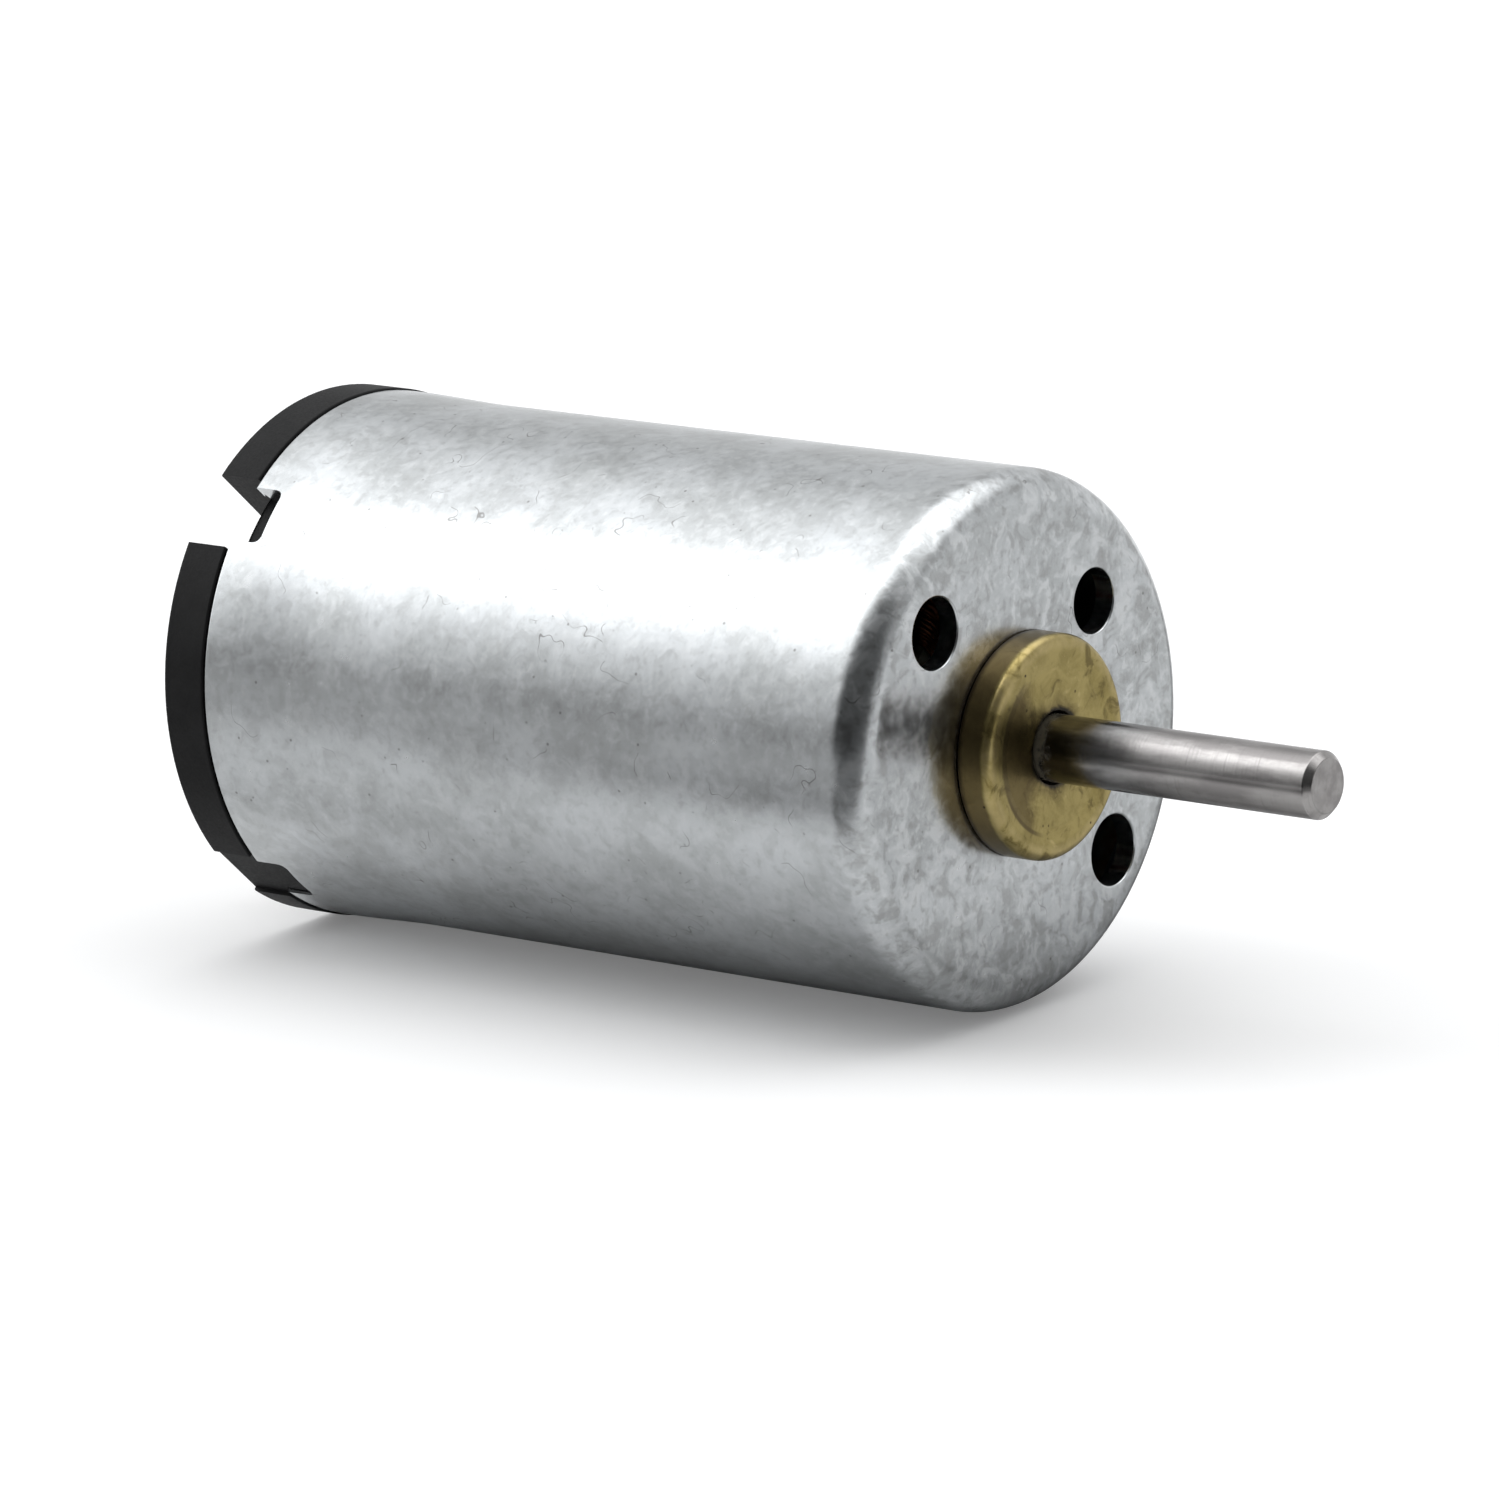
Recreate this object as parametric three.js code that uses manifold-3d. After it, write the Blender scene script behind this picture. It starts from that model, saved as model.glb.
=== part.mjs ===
// A small round brushed direct-current motor, 12 mm across, lying along X with its shaft pointing to +X.
// Millimetres, +Z up. The origin is the middle of the front mounting face, on the shaft axis.
// "Depth" below is the distance behind that face, so a depth d lies at x = -d.

import * as THREE from 'three';
import { mergeVertices } from 'three/addons/utils/BufferGeometryUtils.js';
import Module from 'manifold-3d';

// ---- Driving dimensions ----

// Can: a drawn steel cup, open at the rear, with a shallow coined seat for the boss in its front face.
const CAN_RADIUS = 6.0;
const CAN_WALL = 0.5;
const CAN_LENGTH = 18.6;
const CAN_EDGE_ROUND = 0.75;
const CAN_INNER_ROUND = 0.45;
const CAN_INNER_RADIUS = CAN_RADIUS - CAN_WALL;
const LIP_FLARE = 0.08;
const LIP_LENGTH = 0.15;
const LIP_TAPER = 0.65;
const NOTCH_WIDTH = 1.4;
const NOTCH_LENGTH = 0.85;
const SEAT_RADIUS = 2.58;
const SEAT_DEPTH = 0.02;

// Front holes: a mounting pair on one diagonal, and one smaller hole on the other diagonal.
const MOUNT_HOLE_RADIUS = 0.8;
const MOUNT_PITCH_RADIUS = 4.35;
const VENT_HOLE_RADIUS = 0.73;
const VENT_PITCH_RADIUS = 3.76;

// Shaft.
const SHAFT_RADIUS = 0.75;
const SHAFT_TIP = 8.0;
const SHAFT_REAR_DEPTH = 19.6;
const SHAFT_CHAMFER = 0.15;

// Clearances.
const TOUCH_GAP = 0.02;
const RUNNING_GAP = 0.03;
const SHAFT_SEAT_RADIUS = SHAFT_RADIUS + TOUCH_GAP;
const BORE_RADIUS = SHAFT_RADIUS + RUNNING_GAP;

// Front bearing: a brass bush whose flange is the boss in front of the can.
const BOSS_RADIUS = 2.5;
const BOSS_HEIGHT = 0.84;
const BOSS_EDGE_ROUND = 0.2;
const BOSS_BORE_CHAMFER = 0.1;
const NECK_RADIUS = 1.8;
const STAKED_RIM_RADIUS = 2.1;
const STAKED_RIM_LENGTH = 0.35;
const FRONT_BARREL_RADIUS = 1.7;
const FRONT_BARREL_DEPTH = 1.6;

// End cap: a slotted plastic flange behind the can and a spigot inside it.
const FLANGE_RADIUS = 6.12;
const FLANGE_THICKNESS = 1.15;
const FLANGE_EDGE_ROUND = 0.08;
const SPIGOT_RADIUS = CAN_INNER_RADIUS - 0.05;
const SPIGOT_INNER_RADIUS = 4.6;
const SPIGOT_FRONT_DEPTH = 15.0;
const SLOT_WIDTH = 1.8;
const SLOT_INNER_RADIUS = 3.3;
const HUB_RADIUS = 2.4;
const HUB_FRONT_DEPTH = 18.0;
const REAR_BOSS_RADIUS = 2.6;
const REAR_BOSS_HEIGHT = 0.6;
const REAR_LIP_RADIUS = 1.0;
const REAR_LIP_THICKNESS = 0.45;
const FLANGE_FRONT_DEPTH = CAN_LENGTH + TOUCH_GAP;
const FLANGE_REAR_DEPTH = FLANGE_FRONT_DEPTH + FLANGE_THICKNESS;
const REAR_BOSS_DEPTH = FLANGE_REAR_DEPTH + REAR_BOSS_HEIGHT;
const OPEN_SLOT_ANGLES = [137, 317];
const KEY_ANGLES = [47, 227];
const NOTCH_ANGLES = [...OPEN_SLOT_ANGLES, ...KEY_ANGLES];
const KEY_GAP = 0.05;
const KEY_ROOT_RADIUS = SPIGOT_RADIUS - 0.3;
const KEY_RADIUS = CAN_RADIUS - KEY_GAP;

// Rear bearing: a sintered bush in the end cap's pocket.
const REAR_BUSH_RADIUS = 1.5;
const REAR_BUSH_LENGTH = 1.7;
const REAR_BUSH_CHAMFER = 0.15;
const REAR_BUSH_REAR_DEPTH = REAR_BOSS_DEPTH - REAR_LIP_THICKNESS - TOUCH_GAP;

// Magnets and the clips between them.
const MAGNET_INNER_RADIUS = 3.95;
const MAGNET_OUTER_RADIUS = CAN_INNER_RADIUS - 0.05;
const MAGNET_HALF_ANGLE = 67;
const MAGNET_FRONT_DEPTH = 2.6;
const MAGNET_LENGTH = 10.8;
const CLIP_THICKNESS = 0.2;
const CLIP_HALF_ANGLE = 21;
const CLIP_LEG_RADIUS = 4.35;
const CLIP_LENGTH = 9.6;

// Rotor core: three poles on a stack of thin plates.
const POLE_COUNT = 3;
const FIRST_POLE_ANGLE = 270;
const CORE_RADIUS = 3.65;
const CORE_FRONT_DEPTH = 4.0;
const PLATE_COUNT = 16;
const PLATE_PITCH = 0.5;
const POLE_HALF_ANGLE = 52;
const SHOE_TIP_THICKNESS = 0.42;
const NECK_HALF_WIDTH = 0.65;
const CORE_HUB_RADIUS = 1.45;
const INSULATOR_THICKNESS = 0.3;
const INSULATOR_INSET = 0.04;
const CORE_LENGTH = PLATE_COUNT * PLATE_PITCH;
const CORE_REAR_DEPTH = CORE_FRONT_DEPTH + CORE_LENGTH;

// Windings: one closed ring of wire around each pole's neck.
const COIL_HALF_WIDTH = 2.1;
const COIL_END_THICKNESS = 0.95;
const COIL_BASE_RADIUS = 1.75;
const COIL_OUTER_RADIUS = CORE_RADIUS - SHOE_TIP_THICKNESS - 0.15;

// Commutator.
const SPOOL_RADIUS = 1.27;
const SPOOL_FRONT_DEPTH = 13.45;
const SPOOL_REAR_DEPTH = 17.9;
const SPOOL_FLANGE_RADIUS = 1.9;
const SPOOL_FLANGE_DEPTH = 14.45;
const SPOOL_FLANGE_LENGTH = 0.45;
const COMMUTATOR_RADIUS = 1.6;
const SEGMENT_FRONT_DEPTH = 14.95;
const SEGMENT_LENGTH = 2.75;
const SEGMENT_HALF_ANGLE = 55;
const RISER_RADIUS = 2.3;
const RISER_WIDTH = 0.8;
const RISER_LENGTH = 0.3;
const RING_RADIUS = 1.95;
const RING_FRONT_DEPTH = 15.35;
const RING_LENGTH = 0.3;
const VARISTOR_RADIUS = 2.75;
const VARISTOR_FRONT_DEPTH = 13.95;
const VARISTOR_LENGTH = 0.45;

// Spacer and washers on the shaft: outer radius, front depth and length.
const SPACER_SLEEVE = { radius: 1.3, depth: 2.2, length: 1.4 };
const STEEL_WASHER = { radius: 1.5, depth: 1.66, length: 0.18 };
const FRONT_WASHER = { radius: 1.4, depth: 1.9, length: 0.25 };
const REAR_WASHER = { radius: 1.25, depth: 17.95, length: 0.18 };

// Brush gear: the part on the +Y side. The other is the same part turned half a turn about the shaft.
const TERMINAL_WIDTH = 1.6;
const TERMINAL_THICKNESS = 0.3;
const TERMINAL_HEIGHT = 3.6;
const TERMINAL_TAIL = 2.2;
const TERMINAL_HOLE_RADIUS = 0.4;
const TERMINAL_WING_REACH = 2.3;
const ARM_THICKNESS = 0.12;
const ARM_FRONT_DEPTH = 16.1;
const ARM_WIDTH = 1.4;
const ARM_FACE = 2.14;
const ARM_FOOT_START = 0.9;
const ARM_BEND_RADIUS = 0.3;
const ARM_TIP_HEIGHT = -1.2;
const BRUSH_FRONT_DEPTH = 16.3;
const BRUSH_LENGTH = 1.0;
const BRUSH_HALF_HEIGHT = 0.55;

// Facets around a full turn.
const FINE = 48;
const MEDIUM = 32;
const COARSE = 24;

const radians = THREE.MathUtils.degToRad;

// ---- Solids: closed geometry to manifold-3d and back ----

const wasm = await Module();
wasm.setup();

function toSolid(geometry) {
  const bare = geometry.clone();
  bare.deleteAttribute('normal');
  bare.deleteAttribute('uv');
  const merged = mergeVertices(bare, 1e-4);
  return new wasm.Manifold(new wasm.Mesh({
    numProp: 3,
    vertProperties: merged.attributes.position.array,
    triVerts: new Uint32Array(merged.index.array),
  }));
}

function toGeometry(solid) {
  const mesh = solid.getMesh();
  const geometry = new THREE.BufferGeometry();
  geometry.setAttribute('position', new THREE.BufferAttribute(mesh.vertProperties, 3));
  geometry.setIndex(new THREE.BufferAttribute(mesh.triVerts, 1));
  geometry.computeVertexNormals();
  return geometry;
}

function cut(geometry, cutters) {
  let solid = toSolid(geometry);
  for (const cutter of cutters) solid = solid.subtract(toSolid(cutter));
  return toGeometry(solid);
}

function join(first, second) {
  return toGeometry(toSolid(first).add(toSolid(second)));
}

function common(first, second) {
  return toGeometry(toSolid(first).intersect(toSolid(second)));
}

// ---- Basic forms about the X axis ----

// Revolves a path of (radius, x) points about X. The path runs counter-clockwise.
function turned(path, facets) {
  const points = path.getPoints(3);
  return new THREE.LatheGeometry(points, facets).rotateZ(-Math.PI / 2);
}

// A plain tube between two depths.
function tube(innerRadius, outerRadius, frontDepth, length, facets) {
  const path = new THREE.Path();
  path.moveTo(innerRadius, -frontDepth - length);
  path.lineTo(outerRadius, -frontDepth - length);
  path.lineTo(outerRadius, -frontDepth);
  path.lineTo(innerRadius, -frontDepth);
  path.lineTo(innerRadius, -frontDepth - length);
  return turned(path, facets);
}

// A solid rod along X, off the axis by (y, z).
function rod(radius, frontDepth, length, y, z, facets) {
  const cylinder = new THREE.CylinderGeometry(radius, radius, length, facets);
  return cylinder.rotateZ(-Math.PI / 2).translate(-frontDepth - length / 2, y, z);
}

// Extrudes a shape drawn in (Y, Z) along X, from its front depth backwards.
function extrudedAlongX(shape, frontDepth, length, curveSegments) {
  const settings = { depth: length, bevelEnabled: false, curveSegments };
  const toX = new THREE.Matrix4().makeBasis(
    new THREE.Vector3(0, 1, 0),
    new THREE.Vector3(0, 0, 1),
    new THREE.Vector3(1, 0, 0),
  );
  const geometry = new THREE.ExtrudeGeometry(shape, settings).applyMatrix4(toX);
  return geometry.translate(-frontDepth - length, 0, 0);
}

// A radial box from an inner to an outer radius, pointing at an angle measured from +Y towards +Z.
function radialBox(innerRadius, outerRadius, width, frontDepth, length, degrees) {
  const box = new THREE.BoxGeometry(length, outerRadius - innerRadius, width);
  box.translate(-frontDepth - length / 2, (innerRadius + outerRadius) / 2, 0);
  return box.rotateX(radians(degrees));
}

// A round hole drawn as four quarter circles, which gives it four times the facets of one arc.
function roundHole(radius, x, y) {
  const path = new THREE.Path();
  for (let quarter = 4; quarter > 0; quarter -= 1) {
    path.absarc(x, y, radius, (quarter * Math.PI) / 2, ((quarter - 1) * Math.PI) / 2, true);
  }
  return path;
}

// A sector of a ring in the (Y, Z) plane, centred on an angle.
function ringSector(innerRadius, outerRadius, centreDegrees, halfDegrees) {
  const start = radians(centreDegrees - halfDegrees);
  const end = radians(centreDegrees + halfDegrees);
  const shape = new THREE.Shape();
  shape.absarc(0, 0, outerRadius, start, end, false);
  shape.absarc(0, 0, innerRadius, end, start, true);
  shape.closePath();
  return shape;
}

// ---- Materials ----

function material(color, roughness, metalness) {
  return new THREE.MeshStandardMaterial({ color, roughness, metalness, flatShading: true });
}

const zincSteel = material(0xb4b8bb, 0.35, 1.0);
const brass = material(0x968750, 0.4, 1.0);
const groundSteel = material(0xa9a8a8, 0.2, 1.0);
const blackPlastic = material(0x1f1f20, 0.55, 0.0);
const sinteredBronze = material(0x7a5c3a, 0.7, 0.8);
const ferrite = material(0x2c2c2e, 0.75, 0.1);
const springSteel = material(0x77787a, 0.35, 1.0);
const siliconSteel = material(0x5f6366, 0.45, 1.0);
const nylon = material(0xe6e2d4, 0.5, 0.0);
const enamelledCopper = material(0xa4522a, 0.35, 0.9);
const copper = material(0xb87046, 0.3, 1.0);
const brownResin = material(0x4a2b1a, 0.5, 0.0);
const grayCeramic = material(0x55585c, 0.6, 0.0);
const phosphorBronze = material(0xb98a4e, 0.3, 1.0);
const carbon = material(0x252525, 0.7, 0.2);
const tinPlate = material(0xc4c4be, 0.3, 1.0);

// ---- Group and naming ----

const motor = new THREE.Group();

function addPart(name, geometry, partMaterial) {
  const mesh = new THREE.Mesh(geometry, partMaterial);
  mesh.name = name;
  motor.add(mesh);
  return mesh;
}

// ---- Can ----

function canCup() {
  const lipRadius = CAN_RADIUS + LIP_FLARE;
  const lipInnerRadius = CAN_INNER_RADIUS + LIP_FLARE;
  const lipFront = LIP_LENGTH - CAN_LENGTH;
  const taperFront = lipFront + LIP_TAPER;
  const centreHole = NECK_RADIUS + TOUCH_GAP;
  const innerCorner = CAN_INNER_RADIUS - CAN_INNER_ROUND;

  const path = new THREE.Path();
  path.moveTo(lipInnerRadius, -CAN_LENGTH);
  path.lineTo(lipRadius, -CAN_LENGTH);
  path.lineTo(lipRadius, lipFront);
  path.lineTo(CAN_RADIUS, taperFront);
  path.absarc(CAN_RADIUS - CAN_EDGE_ROUND, -CAN_EDGE_ROUND, CAN_EDGE_ROUND, 0, Math.PI / 2, false);
  path.lineTo(SEAT_RADIUS, 0);
  path.lineTo(SEAT_RADIUS, -SEAT_DEPTH);
  path.lineTo(centreHole, -SEAT_DEPTH);
  path.lineTo(centreHole, -CAN_WALL);
  path.absarc(innerCorner, -CAN_WALL - CAN_INNER_ROUND, CAN_INNER_ROUND, Math.PI / 2, 0, true);
  path.lineTo(CAN_INNER_RADIUS, taperFront);
  path.lineTo(lipInnerRadius, lipFront);
  path.lineTo(lipInnerRadius, -CAN_LENGTH);
  return turned(path, FINE);
}

function frontHole(radius, pitchRadius, degrees) {
  const y = pitchRadius * Math.cos(radians(degrees));
  const z = pitchRadius * Math.sin(radians(degrees));
  return rod(radius, -1, CAN_WALL + 2, y, z, COARSE);
}

function lipNotch(degrees) {
  const frontDepth = CAN_LENGTH - NOTCH_LENGTH;
  return radialBox(CAN_INNER_RADIUS - 1, CAN_RADIUS + 1, NOTCH_WIDTH, frontDepth, NOTCH_LENGTH + 1, degrees);
}

const canCutters = [
  frontHole(MOUNT_HOLE_RADIUS, MOUNT_PITCH_RADIUS, 135),
  frontHole(MOUNT_HOLE_RADIUS, MOUNT_PITCH_RADIUS, 315),
  frontHole(VENT_HOLE_RADIUS, VENT_PITCH_RADIUS, 45),
  ...NOTCH_ANGLES.map(lipNotch),
];
addPart('can', cut(canCup(), canCutters), zincSteel);

// ---- Front bearing ----

function frontBush() {
  const mouth = BORE_RADIUS + BOSS_BORE_CHAMFER;
  const rimFront = -CAN_WALL - TOUCH_GAP;
  const rimRear = rimFront - STAKED_RIM_LENGTH;

  const path = new THREE.Path();
  path.moveTo(BORE_RADIUS, -FRONT_BARREL_DEPTH);
  path.lineTo(FRONT_BARREL_RADIUS, -FRONT_BARREL_DEPTH);
  path.lineTo(FRONT_BARREL_RADIUS, rimRear);
  path.lineTo(STAKED_RIM_RADIUS, rimRear);
  path.lineTo(STAKED_RIM_RADIUS, rimFront);
  path.lineTo(NECK_RADIUS, rimFront);
  path.lineTo(NECK_RADIUS, 0);
  path.lineTo(BOSS_RADIUS, 0);
  path.absarc(
    BOSS_RADIUS - BOSS_EDGE_ROUND, BOSS_HEIGHT - BOSS_EDGE_ROUND, BOSS_EDGE_ROUND, 0, Math.PI / 2, false,
  );
  path.lineTo(mouth, BOSS_HEIGHT);
  path.lineTo(BORE_RADIUS, BOSS_HEIGHT - BOSS_BORE_CHAMFER);
  path.lineTo(BORE_RADIUS, -FRONT_BARREL_DEPTH);
  return turned(path, MEDIUM);
}

addPart('front_bearing', frontBush(), brass);

// ---- End cap and rear bearing ----

function endCapBody() {
  const path = new THREE.Path();
  path.moveTo(REAR_LIP_RADIUS, -REAR_BOSS_DEPTH);
  path.lineTo(REAR_BOSS_RADIUS, -REAR_BOSS_DEPTH);
  path.lineTo(REAR_BOSS_RADIUS, -FLANGE_REAR_DEPTH);
  path.absarc(
    FLANGE_RADIUS - FLANGE_EDGE_ROUND, FLANGE_EDGE_ROUND - FLANGE_REAR_DEPTH, FLANGE_EDGE_ROUND,
    -Math.PI / 2, 0, false,
  );
  path.lineTo(FLANGE_RADIUS, -FLANGE_FRONT_DEPTH);
  path.lineTo(SPIGOT_RADIUS, -FLANGE_FRONT_DEPTH);
  path.lineTo(SPIGOT_RADIUS, -SPIGOT_FRONT_DEPTH);
  path.lineTo(SPIGOT_INNER_RADIUS, -SPIGOT_FRONT_DEPTH);
  path.lineTo(SPIGOT_INNER_RADIUS, -FLANGE_FRONT_DEPTH);
  path.lineTo(HUB_RADIUS, -FLANGE_FRONT_DEPTH);
  path.lineTo(HUB_RADIUS, -HUB_FRONT_DEPTH);
  path.lineTo(REAR_BUSH_RADIUS, -HUB_FRONT_DEPTH);
  path.lineTo(REAR_BUSH_RADIUS, REAR_LIP_THICKNESS - REAR_BOSS_DEPTH);
  path.lineTo(REAR_LIP_RADIUS, REAR_LIP_THICKNESS - REAR_BOSS_DEPTH);
  path.lineTo(REAR_LIP_RADIUS, -REAR_BOSS_DEPTH);
  return turned(path, FINE);
}

// A slot through the flange only, so that the spigot closes the can's notch from inside.
function flangeSlot(innerRadius, outerRadius, degrees) {
  const length = FLANGE_THICKNESS + 1;
  return radialBox(innerRadius, outerRadius, SLOT_WIDTH, FLANGE_FRONT_DEPTH, length, degrees);
}

function openSlot(degrees) {
  return flangeSlot(SLOT_INNER_RADIUS, FLANGE_RADIUS + 1, degrees);
}

// Behind a key the slot is a window, closed at the rim by a bar that is flush with the key.
function barredSlot(degrees) {
  const window = flangeSlot(SLOT_INNER_RADIUS, KEY_ROOT_RADIUS, degrees);
  const rimRecess = flangeSlot(KEY_RADIUS, FLANGE_RADIUS + 1, degrees);
  return [window, rimRecess];
}

function terminalSlot(degrees) {
  const inner = TERMINAL_HEIGHT - TOUCH_GAP;
  const outer = TERMINAL_HEIGHT + TERMINAL_THICKNESS + TOUCH_GAP;
  const width = TERMINAL_WIDTH + 2 * TOUCH_GAP;
  return radialBox(inner, outer, width, FLANGE_FRONT_DEPTH - 1, FLANGE_THICKNESS + 2, degrees);
}

// A key on the spigot that fills one of the can's notches and stops the cap from turning.
function capKey(degrees) {
  const frontDepth = CAN_LENGTH - NOTCH_LENGTH + KEY_GAP;
  const length = FLANGE_FRONT_DEPTH - frontDepth;
  const width = NOTCH_WIDTH - 2 * KEY_GAP;
  return radialBox(KEY_ROOT_RADIUS, KEY_RADIUS, width, frontDepth, length, degrees);
}

const capCutters = [
  ...OPEN_SLOT_ANGLES.map(openSlot),
  ...KEY_ANGLES.flatMap(barredSlot),
  terminalSlot(90),
  terminalSlot(270),
];
const keyedCap = KEY_ANGLES.map(capKey).reduce(join, endCapBody());
addPart('end_cap', cut(keyedCap, capCutters), blackPlastic);

function rearBush() {
  const outerRadius = REAR_BUSH_RADIUS - TOUCH_GAP;
  const rear = -REAR_BUSH_REAR_DEPTH;
  const front = rear + REAR_BUSH_LENGTH;
  const path = new THREE.Path();
  path.moveTo(BORE_RADIUS, rear);
  path.lineTo(outerRadius - REAR_BUSH_CHAMFER, rear);
  path.lineTo(outerRadius, rear + REAR_BUSH_CHAMFER);
  path.lineTo(outerRadius, front - REAR_BUSH_CHAMFER);
  path.lineTo(outerRadius - REAR_BUSH_CHAMFER, front);
  path.lineTo(BORE_RADIUS, front);
  path.lineTo(BORE_RADIUS, rear);
  return turned(path, FINE);
}

addPart('rear_bearing', rearBush(), sinteredBronze);

// ---- Magnets and clips ----

function magnet(degrees) {
  const shape = ringSector(MAGNET_INNER_RADIUS, MAGNET_OUTER_RADIUS, degrees, MAGNET_HALF_ANGLE);
  return extrudedAlongX(shape, MAGNET_FRONT_DEPTH, MAGNET_LENGTH, 8);
}

// A channel of sheet: a back along the can wall and a leg beside each magnet.
function magnetClip(degrees) {
  const backOuter = MAGNET_OUTER_RADIUS;
  const backInner = backOuter - CLIP_THICKNESS;
  const innerHalfAngle = CLIP_HALF_ANGLE - THREE.MathUtils.radToDeg(CLIP_THICKNESS / backInner);
  const middle = radians(degrees);
  const outerHalf = radians(CLIP_HALF_ANGLE);
  const innerHalf = radians(innerHalfAngle);
  const leg = (angle) => [
    CLIP_LEG_RADIUS * Math.cos(middle + angle),
    CLIP_LEG_RADIUS * Math.sin(middle + angle),
  ];

  const shape = new THREE.Shape();
  shape.absarc(0, 0, backOuter, middle - outerHalf, middle + outerHalf, false);
  shape.lineTo(...leg(outerHalf));
  shape.lineTo(...leg(innerHalf));
  shape.absarc(0, 0, backInner, middle + innerHalf, middle - innerHalf, true);
  shape.lineTo(...leg(-innerHalf));
  shape.lineTo(...leg(-outerHalf));
  shape.closePath();
  const frontDepth = MAGNET_FRONT_DEPTH + (MAGNET_LENGTH - CLIP_LENGTH) / 2;
  return extrudedAlongX(shape, frontDepth, CLIP_LENGTH, 3);
}

addPart('magnet_right', magnet(0), ferrite);
addPart('magnet_left', magnet(180), ferrite);
addPart('magnet_clip_top', magnetClip(90), springSteel);
addPart('magnet_clip_bottom', magnetClip(270), springSteel);

// ---- Shaft ----

function shaft() {
  const path = new THREE.Path();
  path.moveTo(0, -SHAFT_REAR_DEPTH);
  path.lineTo(SHAFT_RADIUS - SHAFT_CHAMFER, -SHAFT_REAR_DEPTH);
  path.lineTo(SHAFT_RADIUS, SHAFT_CHAMFER - SHAFT_REAR_DEPTH);
  path.lineTo(SHAFT_RADIUS, SHAFT_TIP - SHAFT_CHAMFER);
  path.lineTo(SHAFT_RADIUS - SHAFT_CHAMFER, SHAFT_TIP);
  path.lineTo(0, SHAFT_TIP);
  return turned(path, MEDIUM);
}

addPart('shaft', shaft(), groundSteel);

// ---- Rotor core ----

// The outline of the three-pole plate, drawn smaller all round by an inset.
function poleOutline(inset) {
  const face = CORE_RADIUS - inset;
  const shoe = CORE_RADIUS - SHOE_TIP_THICKNESS + inset;
  const neck = NECK_HALF_WIDTH - inset;
  const hub = CORE_HUB_RADIUS - inset;
  const tipAngle = radians(POLE_HALF_ANGLE) - inset / face;
  const shoeAngle = Math.asin(neck / shoe);
  const hubAngle = Math.asin(neck / hub);
  const step = (2 * Math.PI) / POLE_COUNT;

  const shape = new THREE.Shape();
  for (let pole = 0; pole < POLE_COUNT; pole += 1) {
    const middle = radians(FIRST_POLE_ANGLE) + pole * step;
    shape.absarc(0, 0, face, middle - tipAngle, middle + tipAngle, false);
    shape.absarc(0, 0, shoe, middle + tipAngle, middle + shoeAngle, true);
    shape.absarc(0, 0, hub, middle + hubAngle, middle + step - hubAngle, false);
    shape.absarc(0, 0, shoe, middle + step - shoeAngle, middle + step - tipAngle, true);
  }
  shape.closePath();
  shape.holes.push(roundHole(SHAFT_SEAT_RADIUS + TOUCH_GAP, 0, 0));
  return shape;
}

const plateOutline = poleOutline(0);
for (let plate = 0; plate < PLATE_COUNT; plate += 1) {
  const frontDepth = CORE_FRONT_DEPTH + plate * PLATE_PITCH;
  const name = 'lamination_' + String(plate + 1).padStart(2, '0');
  addPart(name, extrudedAlongX(plateOutline, frontDepth, PLATE_PITCH - TOUCH_GAP, 2), siliconSteel);
}

const insulatorOutline = poleOutline(INSULATOR_INSET);
const insulatorFrontDepth = CORE_FRONT_DEPTH - INSULATOR_THICKNESS - TOUCH_GAP;
const insulator = (frontDepth) => extrudedAlongX(insulatorOutline, frontDepth, INSULATOR_THICKNESS, 2);
addPart('insulator_front', insulator(insulatorFrontDepth), nylon);
addPart('insulator_rear', insulator(CORE_REAR_DEPTH), nylon);

// ---- Windings ----

function roundedRectangle(target, halfLength, halfWidth, corner) {
  const x = halfLength - corner;
  const y = halfWidth - corner;
  target.absarc(x, y, corner, 0, Math.PI / 2, false);
  target.absarc(-x, y, corner, Math.PI / 2, Math.PI, false);
  target.absarc(-x, -y, corner, Math.PI, 1.5 * Math.PI, false);
  target.absarc(x, -y, corner, 1.5 * Math.PI, 2 * Math.PI, false);
  target.closePath();
  return target;
}

// A ring of wire around the pole at an angle, trimmed to fit under the round pole shoe.
function coil(degrees) {
  const innerHalfLength = CORE_LENGTH / 2 + INSULATOR_THICKNESS + 0.05;
  const outline = roundedRectangle(
    new THREE.Shape(), innerHalfLength + COIL_END_THICKNESS, COIL_HALF_WIDTH, 0.9,
  );
  outline.holes.push(roundedRectangle(new THREE.Path(), innerHalfLength, NECK_HALF_WIDTH + 0.1, 0.1));
  const settings = { depth: CORE_RADIUS - COIL_BASE_RADIUS, bevelEnabled: false, curveSegments: 3 };
  const ring = new THREE.ExtrudeGeometry(outline, settings);
  const centreDepth = CORE_FRONT_DEPTH + CORE_LENGTH / 2;
  ring.translate(-centreDepth, 0, COIL_BASE_RADIUS);
  const envelope = rod(COIL_OUTER_RADIUS, CORE_FRONT_DEPTH - 3, CORE_LENGTH + 6, 0, 0, FINE);
  return common(ring, envelope).rotateX(radians(degrees - 90));
}

['coil_a', 'coil_b', 'coil_c'].forEach((name, pole) => {
  addPart(name, coil(FIRST_POLE_ANGLE + (pole * 360) / POLE_COUNT), enamelledCopper);
});

// ---- Commutator ----

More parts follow.
